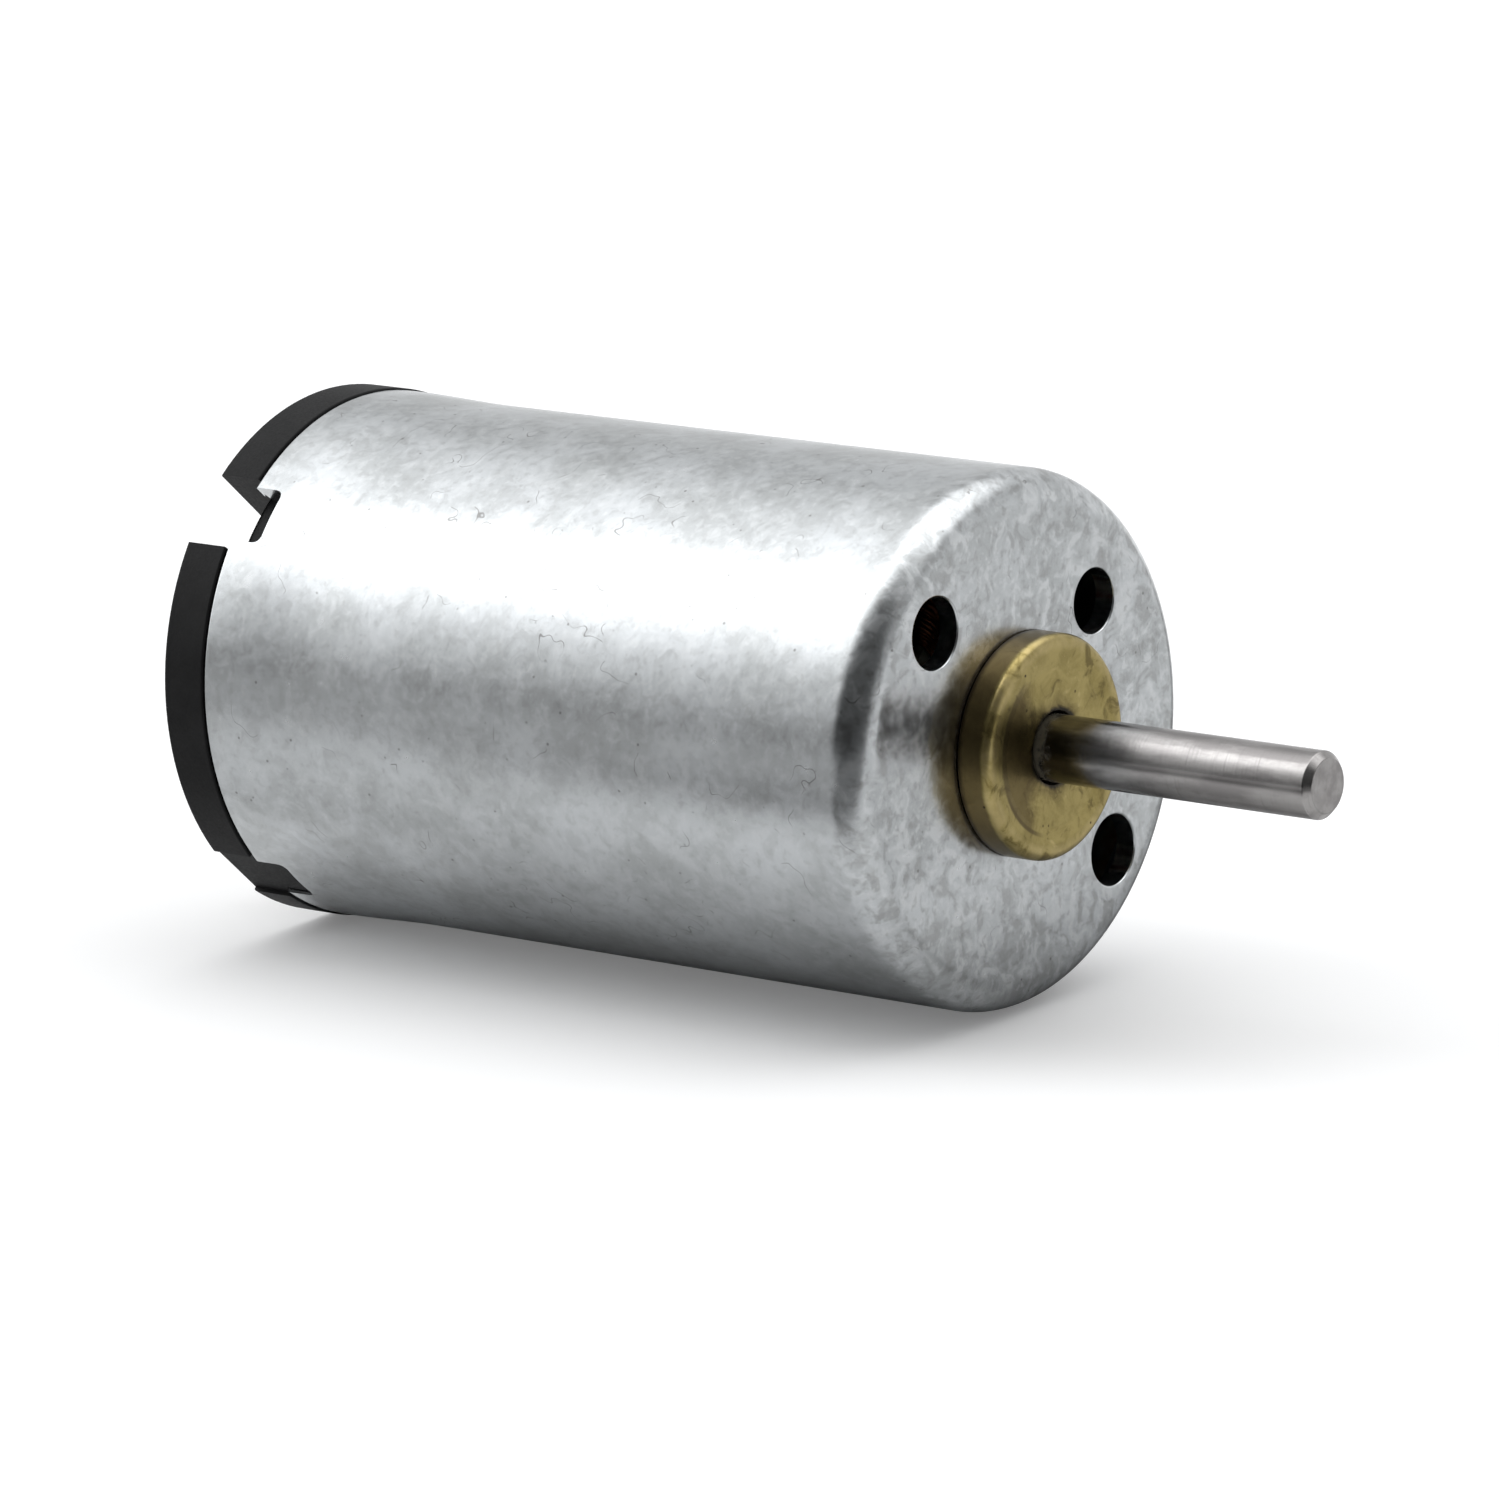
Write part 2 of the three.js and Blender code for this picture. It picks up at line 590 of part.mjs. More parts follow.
function commutatorSpool() {
  const flangeRear = -SPOOL_FLANGE_DEPTH - SPOOL_FLANGE_LENGTH;
  const path = new THREE.Path();
  path.moveTo(SHAFT_SEAT_RADIUS, -SPOOL_REAR_DEPTH);
  path.lineTo(SPOOL_RADIUS, -SPOOL_REAR_DEPTH);
  path.lineTo(SPOOL_RADIUS, flangeRear);
  path.lineTo(SPOOL_FLANGE_RADIUS, flangeRear);
  path.lineTo(SPOOL_FLANGE_RADIUS, -SPOOL_FLANGE_DEPTH);
  path.lineTo(SPOOL_RADIUS, -SPOOL_FLANGE_DEPTH);
  path.lineTo(SPOOL_RADIUS, -SPOOL_FRONT_DEPTH);
  path.lineTo(SHAFT_SEAT_RADIUS, -SPOOL_FRONT_DEPTH);
  path.lineTo(SHAFT_SEAT_RADIUS, -SPOOL_REAR_DEPTH);
  return turned(path, MEDIUM);
}

// A curved copper bar with a riser tab at its front end, where the winding is soldered.
function commutatorSegment(degrees) {
  const sector = ringSector(SPOOL_RADIUS + TOUCH_GAP, COMMUTATOR_RADIUS, degrees, SEGMENT_HALF_ANGLE);
  const bar = extrudedAlongX(sector, SEGMENT_FRONT_DEPTH, SEGMENT_LENGTH, 5);
  const rootRadius = (SPOOL_RADIUS + COMMUTATOR_RADIUS) / 2;
  const riser = radialBox(rootRadius, RISER_RADIUS, RISER_WIDTH, SEGMENT_FRONT_DEPTH, RISER_LENGTH, degrees);
  return join(bar, riser);
}

addPart('commutator_core', commutatorSpool(), brownResin);
['commutator_segment_a', 'commutator_segment_b', 'commutator_segment_c'].forEach((name, index) => {
  addPart(name, commutatorSegment(FIRST_POLE_ANGLE - 60 + (index * 360) / POLE_COUNT), copper);
});
addPart(
  'commutator_ring',
  tube(COMMUTATOR_RADIUS + TOUCH_GAP, RING_RADIUS, RING_FRONT_DEPTH, RING_LENGTH, COARSE),
  nylon,
);
addPart(
  'varistor',
  tube(SPOOL_RADIUS + TOUCH_GAP, VARISTOR_RADIUS, VARISTOR_FRONT_DEPTH, VARISTOR_LENGTH, COARSE),
  grayCeramic,
);

// ---- Spacer and washers ----

function shaftRing(size) {
  return tube(SHAFT_SEAT_RADIUS, size.radius, size.depth, size.length, COARSE);
}

addPart('spacer_sleeve', shaftRing(SPACER_SLEEVE), nylon);
addPart('washer_steel', shaftRing(STEEL_WASHER), springSteel);
addPart('washer_front', shaftRing(FRONT_WASHER), nylon);
addPart('washer_rear', shaftRing(REAR_WASHER), nylon);

// ---- Brush gear ----

// A flat tab through the end cap, with a wing inside that carries the brush arm.
function terminal() {
  const half = TERMINAL_WIDTH / 2;
  const tailRear = -FLANGE_REAR_DEPTH - TERMINAL_TAIL;
  const wingRear = -ARM_FRONT_DEPTH - ARM_WIDTH;
  const corner = 0.3;

  const shape = new THREE.Shape();
  shape.moveTo(-ARM_FRONT_DEPTH, -half);
  shape.lineTo(-ARM_FRONT_DEPTH, TERMINAL_WING_REACH);
  shape.lineTo(wingRear, TERMINAL_WING_REACH);
  shape.lineTo(wingRear, half);
  shape.absarc(tailRear + corner, half - corner, corner, Math.PI / 2, Math.PI, false);
  shape.absarc(tailRear + corner, corner - half, corner, Math.PI, 1.5 * Math.PI, false);
  shape.closePath();
  shape.holes.push(roundHole(TERMINAL_HOLE_RADIUS, tailRear + half, 0));
  const settings = { depth: TERMINAL_THICKNESS, bevelEnabled: false, curveSegments: 2 };
  return new THREE.ExtrudeGeometry(shape, settings).translate(0, 0, TERMINAL_HEIGHT);
}

// A leaf spring bent to an L: a foot under the terminal's wing and a long leg beside the commutator.
function brushArm() {
  const top = TERMINAL_HEIGHT - 2 * TOUCH_GAP;
  const outerFace = ARM_FACE + ARM_THICKNESS;
  const bendY = outerFace - ARM_BEND_RADIUS;
  const bendZ = top - ARM_BEND_RADIUS;

  const shape = new THREE.Shape();
  shape.moveTo(ARM_FACE, ARM_TIP_HEIGHT);
  shape.lineTo(outerFace, ARM_TIP_HEIGHT);
  shape.absarc(bendY, bendZ, ARM_BEND_RADIUS, 0, Math.PI / 2, false);
  shape.lineTo(ARM_FOOT_START, top);
  shape.lineTo(ARM_FOOT_START, top - ARM_THICKNESS);
  shape.absarc(bendY, bendZ, ARM_BEND_RADIUS - ARM_THICKNESS, Math.PI / 2, 0, true);
  shape.closePath();
  return extrudedAlongX(shape, ARM_FRONT_DEPTH, ARM_WIDTH, 3);
}

// A block with a hollow face that fits round the commutator.
function brush() {
  const back = ARM_FACE - TOUCH_GAP;
  const faceRadius = COMMUTATOR_RADIUS + RUNNING_GAP;
  const faceAngle = Math.asin(BRUSH_HALF_HEIGHT / faceRadius);

  const shape = new THREE.Shape();
  shape.moveTo(back, -BRUSH_HALF_HEIGHT);
  shape.lineTo(back, BRUSH_HALF_HEIGHT);
  shape.absarc(0, 0, faceRadius, faceAngle, -faceAngle, true);
  shape.closePath();
  return extrudedAlongX(shape, BRUSH_FRONT_DEPTH, BRUSH_LENGTH, 4);
}

['a', 'b'].forEach((side, index) => {
  const halfTurn = index * Math.PI;
  addPart('terminal_' + side, terminal(), tinPlate).rotation.x = halfTurn;
  addPart('brush_arm_' + side, brushArm(), phosphorBronze).rotation.x = halfTurn;
  addPart('brush_' + side, brush(), carbon).rotation.x = halfTurn;
});

export default motor;
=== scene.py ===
# A small round brushed motor on a pale studio floor. Every piece is modelled in millimetres and scaled once.
import math

import bmesh
import bpy
from mathutils import Matrix, Vector


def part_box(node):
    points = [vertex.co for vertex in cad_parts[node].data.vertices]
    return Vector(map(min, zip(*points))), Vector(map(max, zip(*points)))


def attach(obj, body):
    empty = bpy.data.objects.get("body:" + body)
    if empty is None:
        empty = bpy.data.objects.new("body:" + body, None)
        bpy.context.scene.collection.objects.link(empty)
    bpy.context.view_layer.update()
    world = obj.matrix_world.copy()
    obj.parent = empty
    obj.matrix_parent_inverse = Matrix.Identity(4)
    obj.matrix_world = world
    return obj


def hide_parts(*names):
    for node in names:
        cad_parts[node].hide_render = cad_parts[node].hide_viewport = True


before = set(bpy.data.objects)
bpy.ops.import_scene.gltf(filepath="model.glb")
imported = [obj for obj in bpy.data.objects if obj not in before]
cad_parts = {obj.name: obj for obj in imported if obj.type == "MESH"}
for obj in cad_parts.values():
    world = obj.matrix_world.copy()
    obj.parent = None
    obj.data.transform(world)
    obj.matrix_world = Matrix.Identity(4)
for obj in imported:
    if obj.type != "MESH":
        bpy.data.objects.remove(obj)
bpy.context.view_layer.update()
scene = bpy.context.scene

MM = 0.001
TURN = 2 * math.pi
SMOOTH_ANGLE = 32


# -------- sizes in millimetres, many of them from the frame


def box_mm(node):
    low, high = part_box(node)
    return low / MM, high / MM


can_low, can_high = box_mm("can")
cap_low, cap_high = box_mm("end_cap")
shaft_low, shaft_high = box_mm("shaft")
boss_high = box_mm("front_bearing")[1]

LIP_RADIUS = can_high.z
FLARE = 0.08
CAN_RADIUS = LIP_RADIUS - FLARE
CAN_REAR = can_low.x
CAN_WALL = 0.5
CAN_ROUND = 0.75
MAGNET_RADIUS = CAN_RADIUS - CAN_WALL - 0.05

MOUNT_HOLE_RADIUS = 0.8
MOUNT_HOLE_PITCH = 4.35
MOUNT_HOLE_ANGLES = (135, 315)
THIRD_HOLE_RADIUS = 0.73
THIRD_HOLE_PITCH = 3.76
THIRD_HOLE_ANGLE = 45

BOSS_RADIUS = boss_high.z
BOSS_FACE = boss_high.x
NECK_RADIUS = 1.8

SHAFT_RADIUS = shaft_high.z
SHAFT_REAR = shaft_low.x
SHAFT_TIP = shaft_high.x
BORE_RADIUS = SHAFT_RADIUS + 0.03
PRESSED_BORE = SHAFT_RADIUS + 0.02

CAP_REAR = cap_low.x
FLANGE_RADIUS = cap_high.z
OPEN_SLOT_ANGLES = (137, 317)
KEY_ANGLES = (47, 227)
NOTCH_ANGLES = OPEN_SLOT_ANGLES + KEY_ANGLES
NOTCH_LENGTH = 0.85
NOTCH_WIDTH = 1.4
KEY_GAP = 0.05
TERMINAL_ANGLES = (90, 270)
TERMINAL_WIDTH = 1.6
EJECTOR_ANGLES = (0, 180)

POLES = 3
POLE_TURN = 120
FIRST_POLE = 270

# Cutters end here, outside everything.
CLEAR_RADIUS = 8


# -------- outlines


def arc(centre, radius, start, end, steps):
    """Points on an arc, in degrees, as (first, second) coordinates."""
    points = []
    for step in range(steps + 1):
        angle = math.radians(start + (end - start) * step / steps)
        points.append((centre[0] + radius * math.cos(angle), centre[1] + radius * math.sin(angle)))
    return points


def rounded(outline, radius, steps):
    """Rounds the marked corners of an outline; a point is (first, second) or (first, second, radius)."""
    result = []
    count = len(outline)
    for index, point in enumerate(outline):
        corner = Vector(point[:2])
        size = point[2] if len(point) > 2 else radius
        before = Vector(outline[index - 1][:2]) - corner
        after = Vector(outline[(index + 1) % count][:2]) - corner
        if size <= 0 or before.length < 1e-6 or after.length < 1e-6:
            result.append(tuple(corner))
            continue
        angle = before.angle(after)
        if angle > math.radians(178):
            result.append(tuple(corner))
            continue
        reach = min(size / math.tan(angle / 2), 0.49 * before.length, 0.49 * after.length)
        first = corner + before.normalized() * reach
        last = corner + after.normalized() * reach
        for step in range(steps + 1):
            t = step / steps
            blend = first * (1 - t) ** 2 + corner * 2 * t * (1 - t) + last * t ** 2
            result.append(tuple(blend))
    return result


# -------- mesh building


def object_from_bmesh(name, bm, smooth_angle=SMOOTH_ANGLE):
    bmesh.ops.recalc_face_normals(bm, faces=bm.faces)
    if bm.calc_volume(signed=True) < 0:
        bmesh.ops.reverse_faces(bm, faces=bm.faces)
    mesh = bpy.data.meshes.new(name)
    bm.to_mesh(mesh)
    bm.free()
    piece = bpy.data.objects.new(name, mesh)
    scene.collection.objects.link(piece)
    shade(piece, smooth_angle)
    return piece


def shade(piece, smooth_angle=SMOOTH_ANGLE):
    mesh = piece.data
    mesh.polygons.foreach_set("use_smooth", [True] * len(mesh.polygons))
    mesh.set_sharp_from_angle(angle=math.radians(smooth_angle))
    mesh.update()


def lathe(name, profile, segments):
    """Revolves a closed profile of (x, radius) points about X."""
    bm = bmesh.new()
    rings = []
    for x, radius in profile:
        if radius < 1e-6:
            rings.append([bm.verts.new((x, 0, 0))])
            continue
        ring = []
        for step in range(segments):
            angle = TURN * step / segments
            ring.append(bm.verts.new((x, radius * math.cos(angle), radius * math.sin(angle))))
        rings.append(ring)
    for index in range(len(rings)):
        first, second = rings[index], rings[(index + 1) % len(rings)]
        if len(first) == 1 and len(second) == 1:
            continue
        for step in range(segments):
            following = (step + 1) % segments
            if len(first) == 1:
                bm.faces.new((first[0], second[step], second[following]))
            elif len(second) == 1:
                bm.faces.new((first[step], second[0], first[following]))
            else:
                bm.faces.new((first[step], second[step], second[following], first[following]))
    return object_from_bmesh(name, bm)


TO_X = Matrix(((0, 0, 1, 0), (1, 0, 0, 0), (0, 1, 0, 0), (0, 0, 0, 1)))


def plate(name, outline, holes, x_low, x_high, edge, to_world=TO_X):
    """Extrudes an outline of (y, z) points along X with softly rounded edges."""
    curve = bpy.data.curves.new(name, "CURVE")
    curve.dimensions = "2D"
    curve.fill_mode = "BOTH"
    curve.extrude = (x_high - x_low) / 2 - edge
    curve.bevel_depth = edge
    curve.bevel_resolution = 1
    curve.offset = -edge
    for loop in [outline, *holes]:
        spline = curve.splines.new("POLY")
        spline.points.add(len(loop) - 1)
        for point, (first, second) in zip(spline.points, loop):
            point.co = (first, second, 0, 1)
        spline.use_cyclic_u = True
    holder = bpy.data.objects.new(name + "_curve", curve)
    scene.collection.objects.link(holder)
    bpy.context.view_layer.update()
    depsgraph = bpy.context.evaluated_depsgraph_get()
    mesh = bpy.data.meshes.new_from_object(holder.evaluated_get(depsgraph))
    bpy.data.objects.remove(holder)
    bpy.data.curves.remove(curve)
    bm = bmesh.new()
    bm.from_mesh(mesh)
    bpy.data.meshes.remove(mesh)
    bmesh.ops.remove_doubles(bm, verts=bm.verts, dist=1e-5)
    bmesh.ops.translate(bm, verts=bm.verts, vec=(0, 0, (x_low + x_high) / 2))
    bm.transform(to_world)
    return object_from_bmesh(name, bm)


def combine(piece, others, operation):
    """Cuts the others out of a piece or adds them to it, one by one, and removes them."""
    for other in others:
        modifier = piece.modifiers.new("combine", "BOOLEAN")
        modifier.operation = operation
        modifier.solver = "EXACT"
        modifier.object = other
        bake(piece)
        bpy.data.objects.remove(other)
    shade(piece)


def cut(piece, cutters):
    combine(piece, cutters, "DIFFERENCE")


def join(piece, additions):
    combine(piece, additions, "UNION")


def bake(piece):
    """Makes a piece's modifiers part of its mesh."""
    bpy.context.view_layer.update()
    depsgraph = bpy.context.evaluated_depsgraph_get()
    done = bpy.data.meshes.new_from_object(piece.evaluated_get(depsgraph))
    old = piece.data
    piece.modifiers.clear()
    piece.data = done
    bpy.data.meshes.remove(old)


def prism(outline, low, high, to_world):
    """An outline extruded between two heights, then placed."""
    bm = bmesh.new()
    bottom = [bm.verts.new((x, y, low)) for x, y in outline]
    top = [bm.verts.new((x, y, high)) for x, y in outline]
    bm.faces.new(bottom)
    bm.faces.new(list(reversed(top)))
    for index in range(len(outline)):
        following = (index + 1) % len(outline)
        bm.faces.new((bottom[index], top[index], top[following], bottom[following]))
    bm.transform(to_world)
    return object_from_bmesh("cutter", bm)


def turned_about_x(degrees):
    return Matrix.Rotation(math.radians(degrees), 4, "X")


def circle(radius, centre, steps):
    return arc(centre, radius, 0, 360, steps)[:-1]


def settle(piece, body, slot, material, *nodes):
    """Scales a finished piece to metres, dresses it and fastens it to its body.

    Weighted normals keep its flat faces flat where they meet a rounded edge.
    """
    weighted = piece.modifiers.new("weighted", "WEIGHTED_NORMAL")
    weighted.keep_sharp = True
    weighted.weight = 75
    bake(piece)
    piece.data.transform(Matrix.Scale(MM, 4))
    piece.data.materials.clear()
    piece.data.materials.append(material)
    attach(piece, body)
    if nodes:
        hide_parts(*nodes)


# -------- studio: camera, floor, light

# Angles in degrees, distances in metres, the lens in millimetres.
VIEW_AZIMUTH = 38.97
VIEW_ELEVATION = 13.43
VIEW_ROLL = -2.38
VIEW_DISTANCE = 0.1987
VIEW_LENS = 213.3
VIEW_AIM = Vector((-7.74, 0.0, -1.05)) * MM
FLOOR_HEIGHT = (cap_low.z - 0.02) * MM


def direction(azimuth, elevation):
    """The way from the object towards an eye at this azimuth and elevation."""
    around, up = math.radians(azimuth), math.radians(elevation)
    return Vector((math.sin(around) * math.cos(up), -math.cos(around) * math.cos(up), math.sin(up)))


def add_camera():
    back = direction(VIEW_AZIMUTH, VIEW_ELEVATION)
    data = bpy.data.cameras.new("camera")
    data.lens = VIEW_LENS
    data.sensor_width = 36
    data.clip_start = 0.01
    data.clip_end = 20
    camera = bpy.data.objects.new("camera", data)
    scene.collection.objects.link(camera)
    level = (-back).to_track_quat("-Z", "Y").to_matrix().to_4x4()
    roll = Matrix.Rotation(math.radians(VIEW_ROLL), 4, "Z")
    camera.matrix_world = Matrix.Translation(VIEW_AIM + back * VIEW_DISTANCE) @ level @ roll
    scene.camera = camera


def add_floor():
    half = 3.0
    bm = bmesh.new()
    corners = [(-half, -half, 0), (half, -half, 0), (half, half, 0), (-half, half, 0)]
    bm.faces.new([bm.verts.new(corner) for corner in corners])
    floor = object_from_bmesh("studio_floor", bm)
    floor.location.z = FLOOR_HEIGHT
    floor.data.materials.append(floor_material())


def grey(level):
    return (level, level, level)


def floor_material():
    """White paper. The metal sees it as a grey table with painted light and shade: paler and darker zones,
    among them a painted contact shadow at the can's front foot, placed in millimetres.
    """
    look = Look("studio_paper", metallic=0.0, roughness=0.9)
    x, y, _ = look.axes()
    table = look.mix(look.spread(x, -24.0, -9.0), grey(0.60), grey(0.72))
    # Painted light: a pale zone beside the can's rear, for the metal to reflect.
    painted_light_beside_rear = look.product(look.spread(x, -12.0, -16.5), look.spread(y, -8.5, -5.5))
    table = look.mix(painted_light_beside_rear, table, grey(0.92))

    across_front = look.gradient((0.35, 1.0, 0), 0.0, 40.0)
    front = look.ramp(across_front, [(0.0, 0.68), (1.0, 0.63), (0.2, 0.47), (0.6, 0.66)])
    table = look.mix(look.spread(x, -8.0, 3.0), table, front)
    ahead = look.product(look.spread(x, 5.5, 6.8), look.spread(x, 10.5, 8.0))
    table = look.mix(ahead, table, grey(0.75))
    # Painted shadow: a dark contact shadow on the table at the can's front foot, seen only in reflections.
    painted_foot_shadow = look.product(look.spread(y, -2.0, 1.5), look.spread(x, 6.0, 3.0), look.spread(x, -7.0, -3.0))
    table = look.mix(painted_foot_shadow, table, look.mix(look.spread(x, 0.6, -0.9), grey(0.40), grey(0.16)))

    table = look.mix(look.spread(y, -14.0, -27.0), table, grey(0.39))
    shaded = look.product(look.spread(y, -11.0, -23.0), look.spread(x, -30.0, -6.0))
    table = look.mix(shaded, table, grey(0.13))
    paper = look.mix(look.noise(0.05, 3), grey(0.955), grey(0.965))
    glossy = look.node("ShaderNodeLightPath").outputs["Is Glossy Ray"]
    look.colour(look.mix(glossy, paper, table))
    look.feed(look.shader.inputs["Emission Color"], grey(1.0))
    seen = look.node("ShaderNodeLightPath").outputs["Is Camera Ray"]
    look.feed(look.shader.inputs["Emission Strength"], look.product(seen, 0.16))
    return look.material


def add_world():
    """A soft studio: an overhead box and lamp, pale walls, and a dark patch on the camera's side."""
    world = bpy.data.worlds.new("studio")
    scene.world = world
    world.use_nodes = True
    tree = world.node_tree
    tree.nodes.clear()
    make, link = tree.nodes.new, tree.links.new

    def math_node(operation, first, second, third=None):
        node = make("ShaderNodeMath")
        node.operation = operation
        for socket, value in zip(node.inputs, (first, second, third)):
            if value is None:
                continue
            if isinstance(value, (int, float)):
                socket.default_value = value
            else:
                link(value, socket)
        return node.outputs[0]

    def spread(value, low, high):
        node = make("ShaderNodeMapRange")
        node.interpolation_type = "SMOOTHSTEP"
        link(value, node.inputs["Value"])
        node.inputs["From Min"].default_value = low
        node.inputs["From Max"].default_value = high
        return node.outputs["Result"]

    way = make("ShaderNodeTexCoord").outputs["Generated"]
    parts = make("ShaderNodeSeparateXYZ")
    link(way, parts.inputs[0])
    around = math_node("ARCTAN2", parts.outputs["Z"], parts.outputs["Y"])
    turn = math_node("MULTIPLY_ADD", around, 1 / TURN, 0.5)

    # Brightness around the motor's axis, by degrees: far side 0, top 90, the camera's side 180.
    # The ramp holds half of each, since a brightness may pass 1.
    walls = make("ShaderNodeValToRGB")
    ring = [(-180, 0.80), (-150, 0.60), (-90, 0.50), (-25, 0.70), (0, 0.73), (20, 0.65), (42, 0.58),
            (58, 0.79), (75, 1.01), (97, 1.29), (125, 1.88), (146, 1.61), (160, 1.44), (171, 0.80),
            (180, 0.80)]
    ramp = walls.color_ramp
    for index, (degrees, value) in enumerate(ring):
        position = degrees / 360 + 0.5
        stop = ramp.elements[index] if index < 2 else ramp.elements.new(position)
        stop.position = position
        stop.color = (*grey(value / 2), 1)
    link(turn, walls.inputs["Fac"])

    box_low = spread(around, math.radians(98), math.radians(102))
    box_high = spread(around, math.radians(152), math.radians(118))
    box_end = spread(parts.outputs["X"], 0.40, 0.00)
    box = math_node("MULTIPLY", math_node("MULTIPLY", box_low, box_high), box_end)

    def towards(centre):
        node = make("ShaderNodeVectorMath")
        node.operation = "DOT_PRODUCT"
        link(way, node.inputs[0])
        node.inputs[1].default_value = Vector(centre).normalized()
        return node.outputs["Value"]

    patch = spread(towards((0.48, -0.86, 0.15)), -0.01, 0.72)
    dimmed = math_node("MULTIPLY_ADD", patch, -0.95, 1.0)
    lamp = spread(towards((0.16, 0.07, 0.98)), 0.60, 0.93)

    level = math_node("MULTIPLY", walls.outputs["Color"], 2.0)
    level = math_node("MULTIPLY_ADD", box, 0.96, level)
    level = math_node("ADD", level, lamp)
    level = math_node("MULTIPLY", level, dimmed)
    seen = make("ShaderNodeLightPath").outputs["Is Camera Ray"]
    shown = math_node("ADD", math_node("MULTIPLY", level, math_node("SUBTRACT", 1.0, seen)), seen)

    background = make("ShaderNodeBackground")
    background.inputs["Color"].default_value = (0.985, 0.992, 1.0, 1)
    link(shown, background.inputs["Strength"])
    output = make("ShaderNodeOutputWorld")
    link(background.outputs[0], output.inputs["Surface"])


# -------- materials


class Look:
    """A procedural material on one Principled shader, with places measured in millimetres."""

    def __init__(self, name, metallic, roughness, **sockets):
        self.material = bpy.data.materials.new(name)
        self.material.use_nodes = True
        self.tree = self.material.node_tree
        self.shader = self.tree.nodes["Principled BSDF"]
        self.shader.inputs["Metallic"].default_value = metallic
        self.shader.inputs["Roughness"].default_value = roughness
        for socket, value in sockets.items():
            self.shader.inputs[socket.replace("_", " ")].default_value = value
        scale = self.node("ShaderNodeMapping")
        scale.inputs["Scale"].default_value = (1 / MM, 1 / MM, 1 / MM)
        self.link(self.node("ShaderNodeTexCoord").outputs["Object"], scale.inputs["Vector"])
        self.place = scale.outputs["Vector"]

    def node(self, kind):
        return self.tree.nodes.new(kind)

    def link(self, source, socket):
        self.tree.links.new(source, socket)

    def feed(self, socket, value):
        if isinstance(value, bpy.types.NodeSocket):
            self.link(value, socket)
        elif isinstance(value, tuple) and len(value) == 3 and socket.type == "RGBA":
            socket.default_value = (*value, 1)
        else:
            socket.default_value = value

    def math(self, operation, first, second=0.0, third=0.0):
        node = self.node("ShaderNodeMath")
        node.operation = operation
        for socket, value in zip(node.inputs, (first, second, third)):
            self.feed(socket, value)
        return node.outputs[0]

    def product(self, first, *others):
        for other in others:
            first = self.math("MULTIPLY", first, other)
        return first

    def summed(self, first, share, second, other_share):
        """Two patterns added, each in its share."""
        return self.math("MULTIPLY_ADD", first, share, self.product(second, other_share))

    def uneven(self, distance, pattern, amount):
        """A distance with some of a pattern added, so that an edge drawn at it wanders."""
        return self.math("MULTIPLY_ADD", pattern, amount, distance)

    def stretched(self, stretch):
        """Places scaled along X, Y and Z, so that a pattern grows long where the scale is small."""
        node = self.node("ShaderNodeMapping")
        node.inputs["Scale"].default_value = stretch
        self.link(self.place, node.inputs["Vector"])
        return node.outputs["Vector"]

    def noise(self, per_mm, detail, roughness=0.6, stretch=(1, 1, 1), distortion=0.0):
        node = self.node("ShaderNodeTexNoise")
        self.link(self.stretched(stretch), node.inputs["Vector"])
        node.inputs["Scale"].default_value = per_mm
        node.inputs["Detail"].default_value = detail
        node.inputs["Roughness"].default_value = roughness
        node.inputs["Distortion"].default_value = distortion
        return node.outputs["Fac"]

    def cells(self, per_mm):
        """Distance to the nearest of many scattered points."""
        node = self.node("ShaderNodeTexVoronoi")
        self.link(self.place, node.inputs["Vector"])
        node.inputs["Scale"].default_value = per_mm
        return node.outputs["Distance"]

    def axes(self):
        node = self.node("ShaderNodeSeparateXYZ")
        self.link(self.place, node.inputs[0])
        return node.outputs["X"], node.outputs["Y"], node.outputs["Z"]

    def from_axis(self):
        """Distance from the X axis in millimetres."""
        _, y, z = self.axes()
        return self.length(y, z)

    def length(self, first, second):
        """The length of a flat vector."""
        return self.math("SQRT", self.math("ADD", self.product(first, first), self.product(second, second)))

    def gradient(self, along, low, high):
        """0 to 1 along a direction, between two distances."""
        node = self.node("ShaderNodeVectorMath")
        node.operation = "DOT_PRODUCT"
        self.link(self.place, node.inputs[0])
        node.inputs[1].default_value = Vector(along).normalized()
        return self.spread(node.outputs["Value"], low, high)

    def spread(self, value, low, high, to_low=0.0, to_high=1.0, smooth=True):
        node = self.node("ShaderNodeMapRange")
        node.interpolation_type = "SMOOTHSTEP" if smooth else "LINEAR"
        self.feed(node.inputs["Value"], value)
        node.inputs["From Min"].default_value = low
        node.inputs["From Max"].default_value = high
        node.inputs["To Min"].default_value = to_low
        node.inputs["To Max"].default_value = to_high
        return node.outputs["Result"]

    def ramp(self, value, stops):
        """A run of greys; each stop is (position, level), the two end stops first."""
        node = self.node("ShaderNodeValToRGB")
        self.feed(node.inputs["Fac"], value)
        stops_made = node.color_ramp.elements
        for index, (position, level) in enumerate(stops):
            stop = stops_made[index] if index < 2 else stops_made.new(position)
            stop.position = position
            stop.color = (*grey(level), 1)
        return node.outputs["Color"]

    def mix(self, factor, first, second):
        """A blend from the first colour to the second."""
        node = self.node("ShaderNodeMix")
        node.data_type = "RGBA"
        colours = [socket for socket in node.inputs if socket.type == "RGBA"]
        self.feed(node.inputs["Factor"], factor)
        self.feed(colours[0], first)
        self.feed(colours[1], second)
        return next(socket for socket in node.outputs if socket.type == "RGBA")

    def tinted(self, tone, colour, *amounts):
        """A tone with a colour laid over it, as strongly as the product of the amounts."""
        return self.mix(self.product(*amounts), tone, colour)

    def colour(self, value):
        self.feed(self.shader.inputs["Base Color"], value)

    def rough(self, value, low, high):
        level = self.spread(value, 0.25, 0.75, low, high, smooth=False)
        self.feed(self.shader.inputs["Roughness"], level)

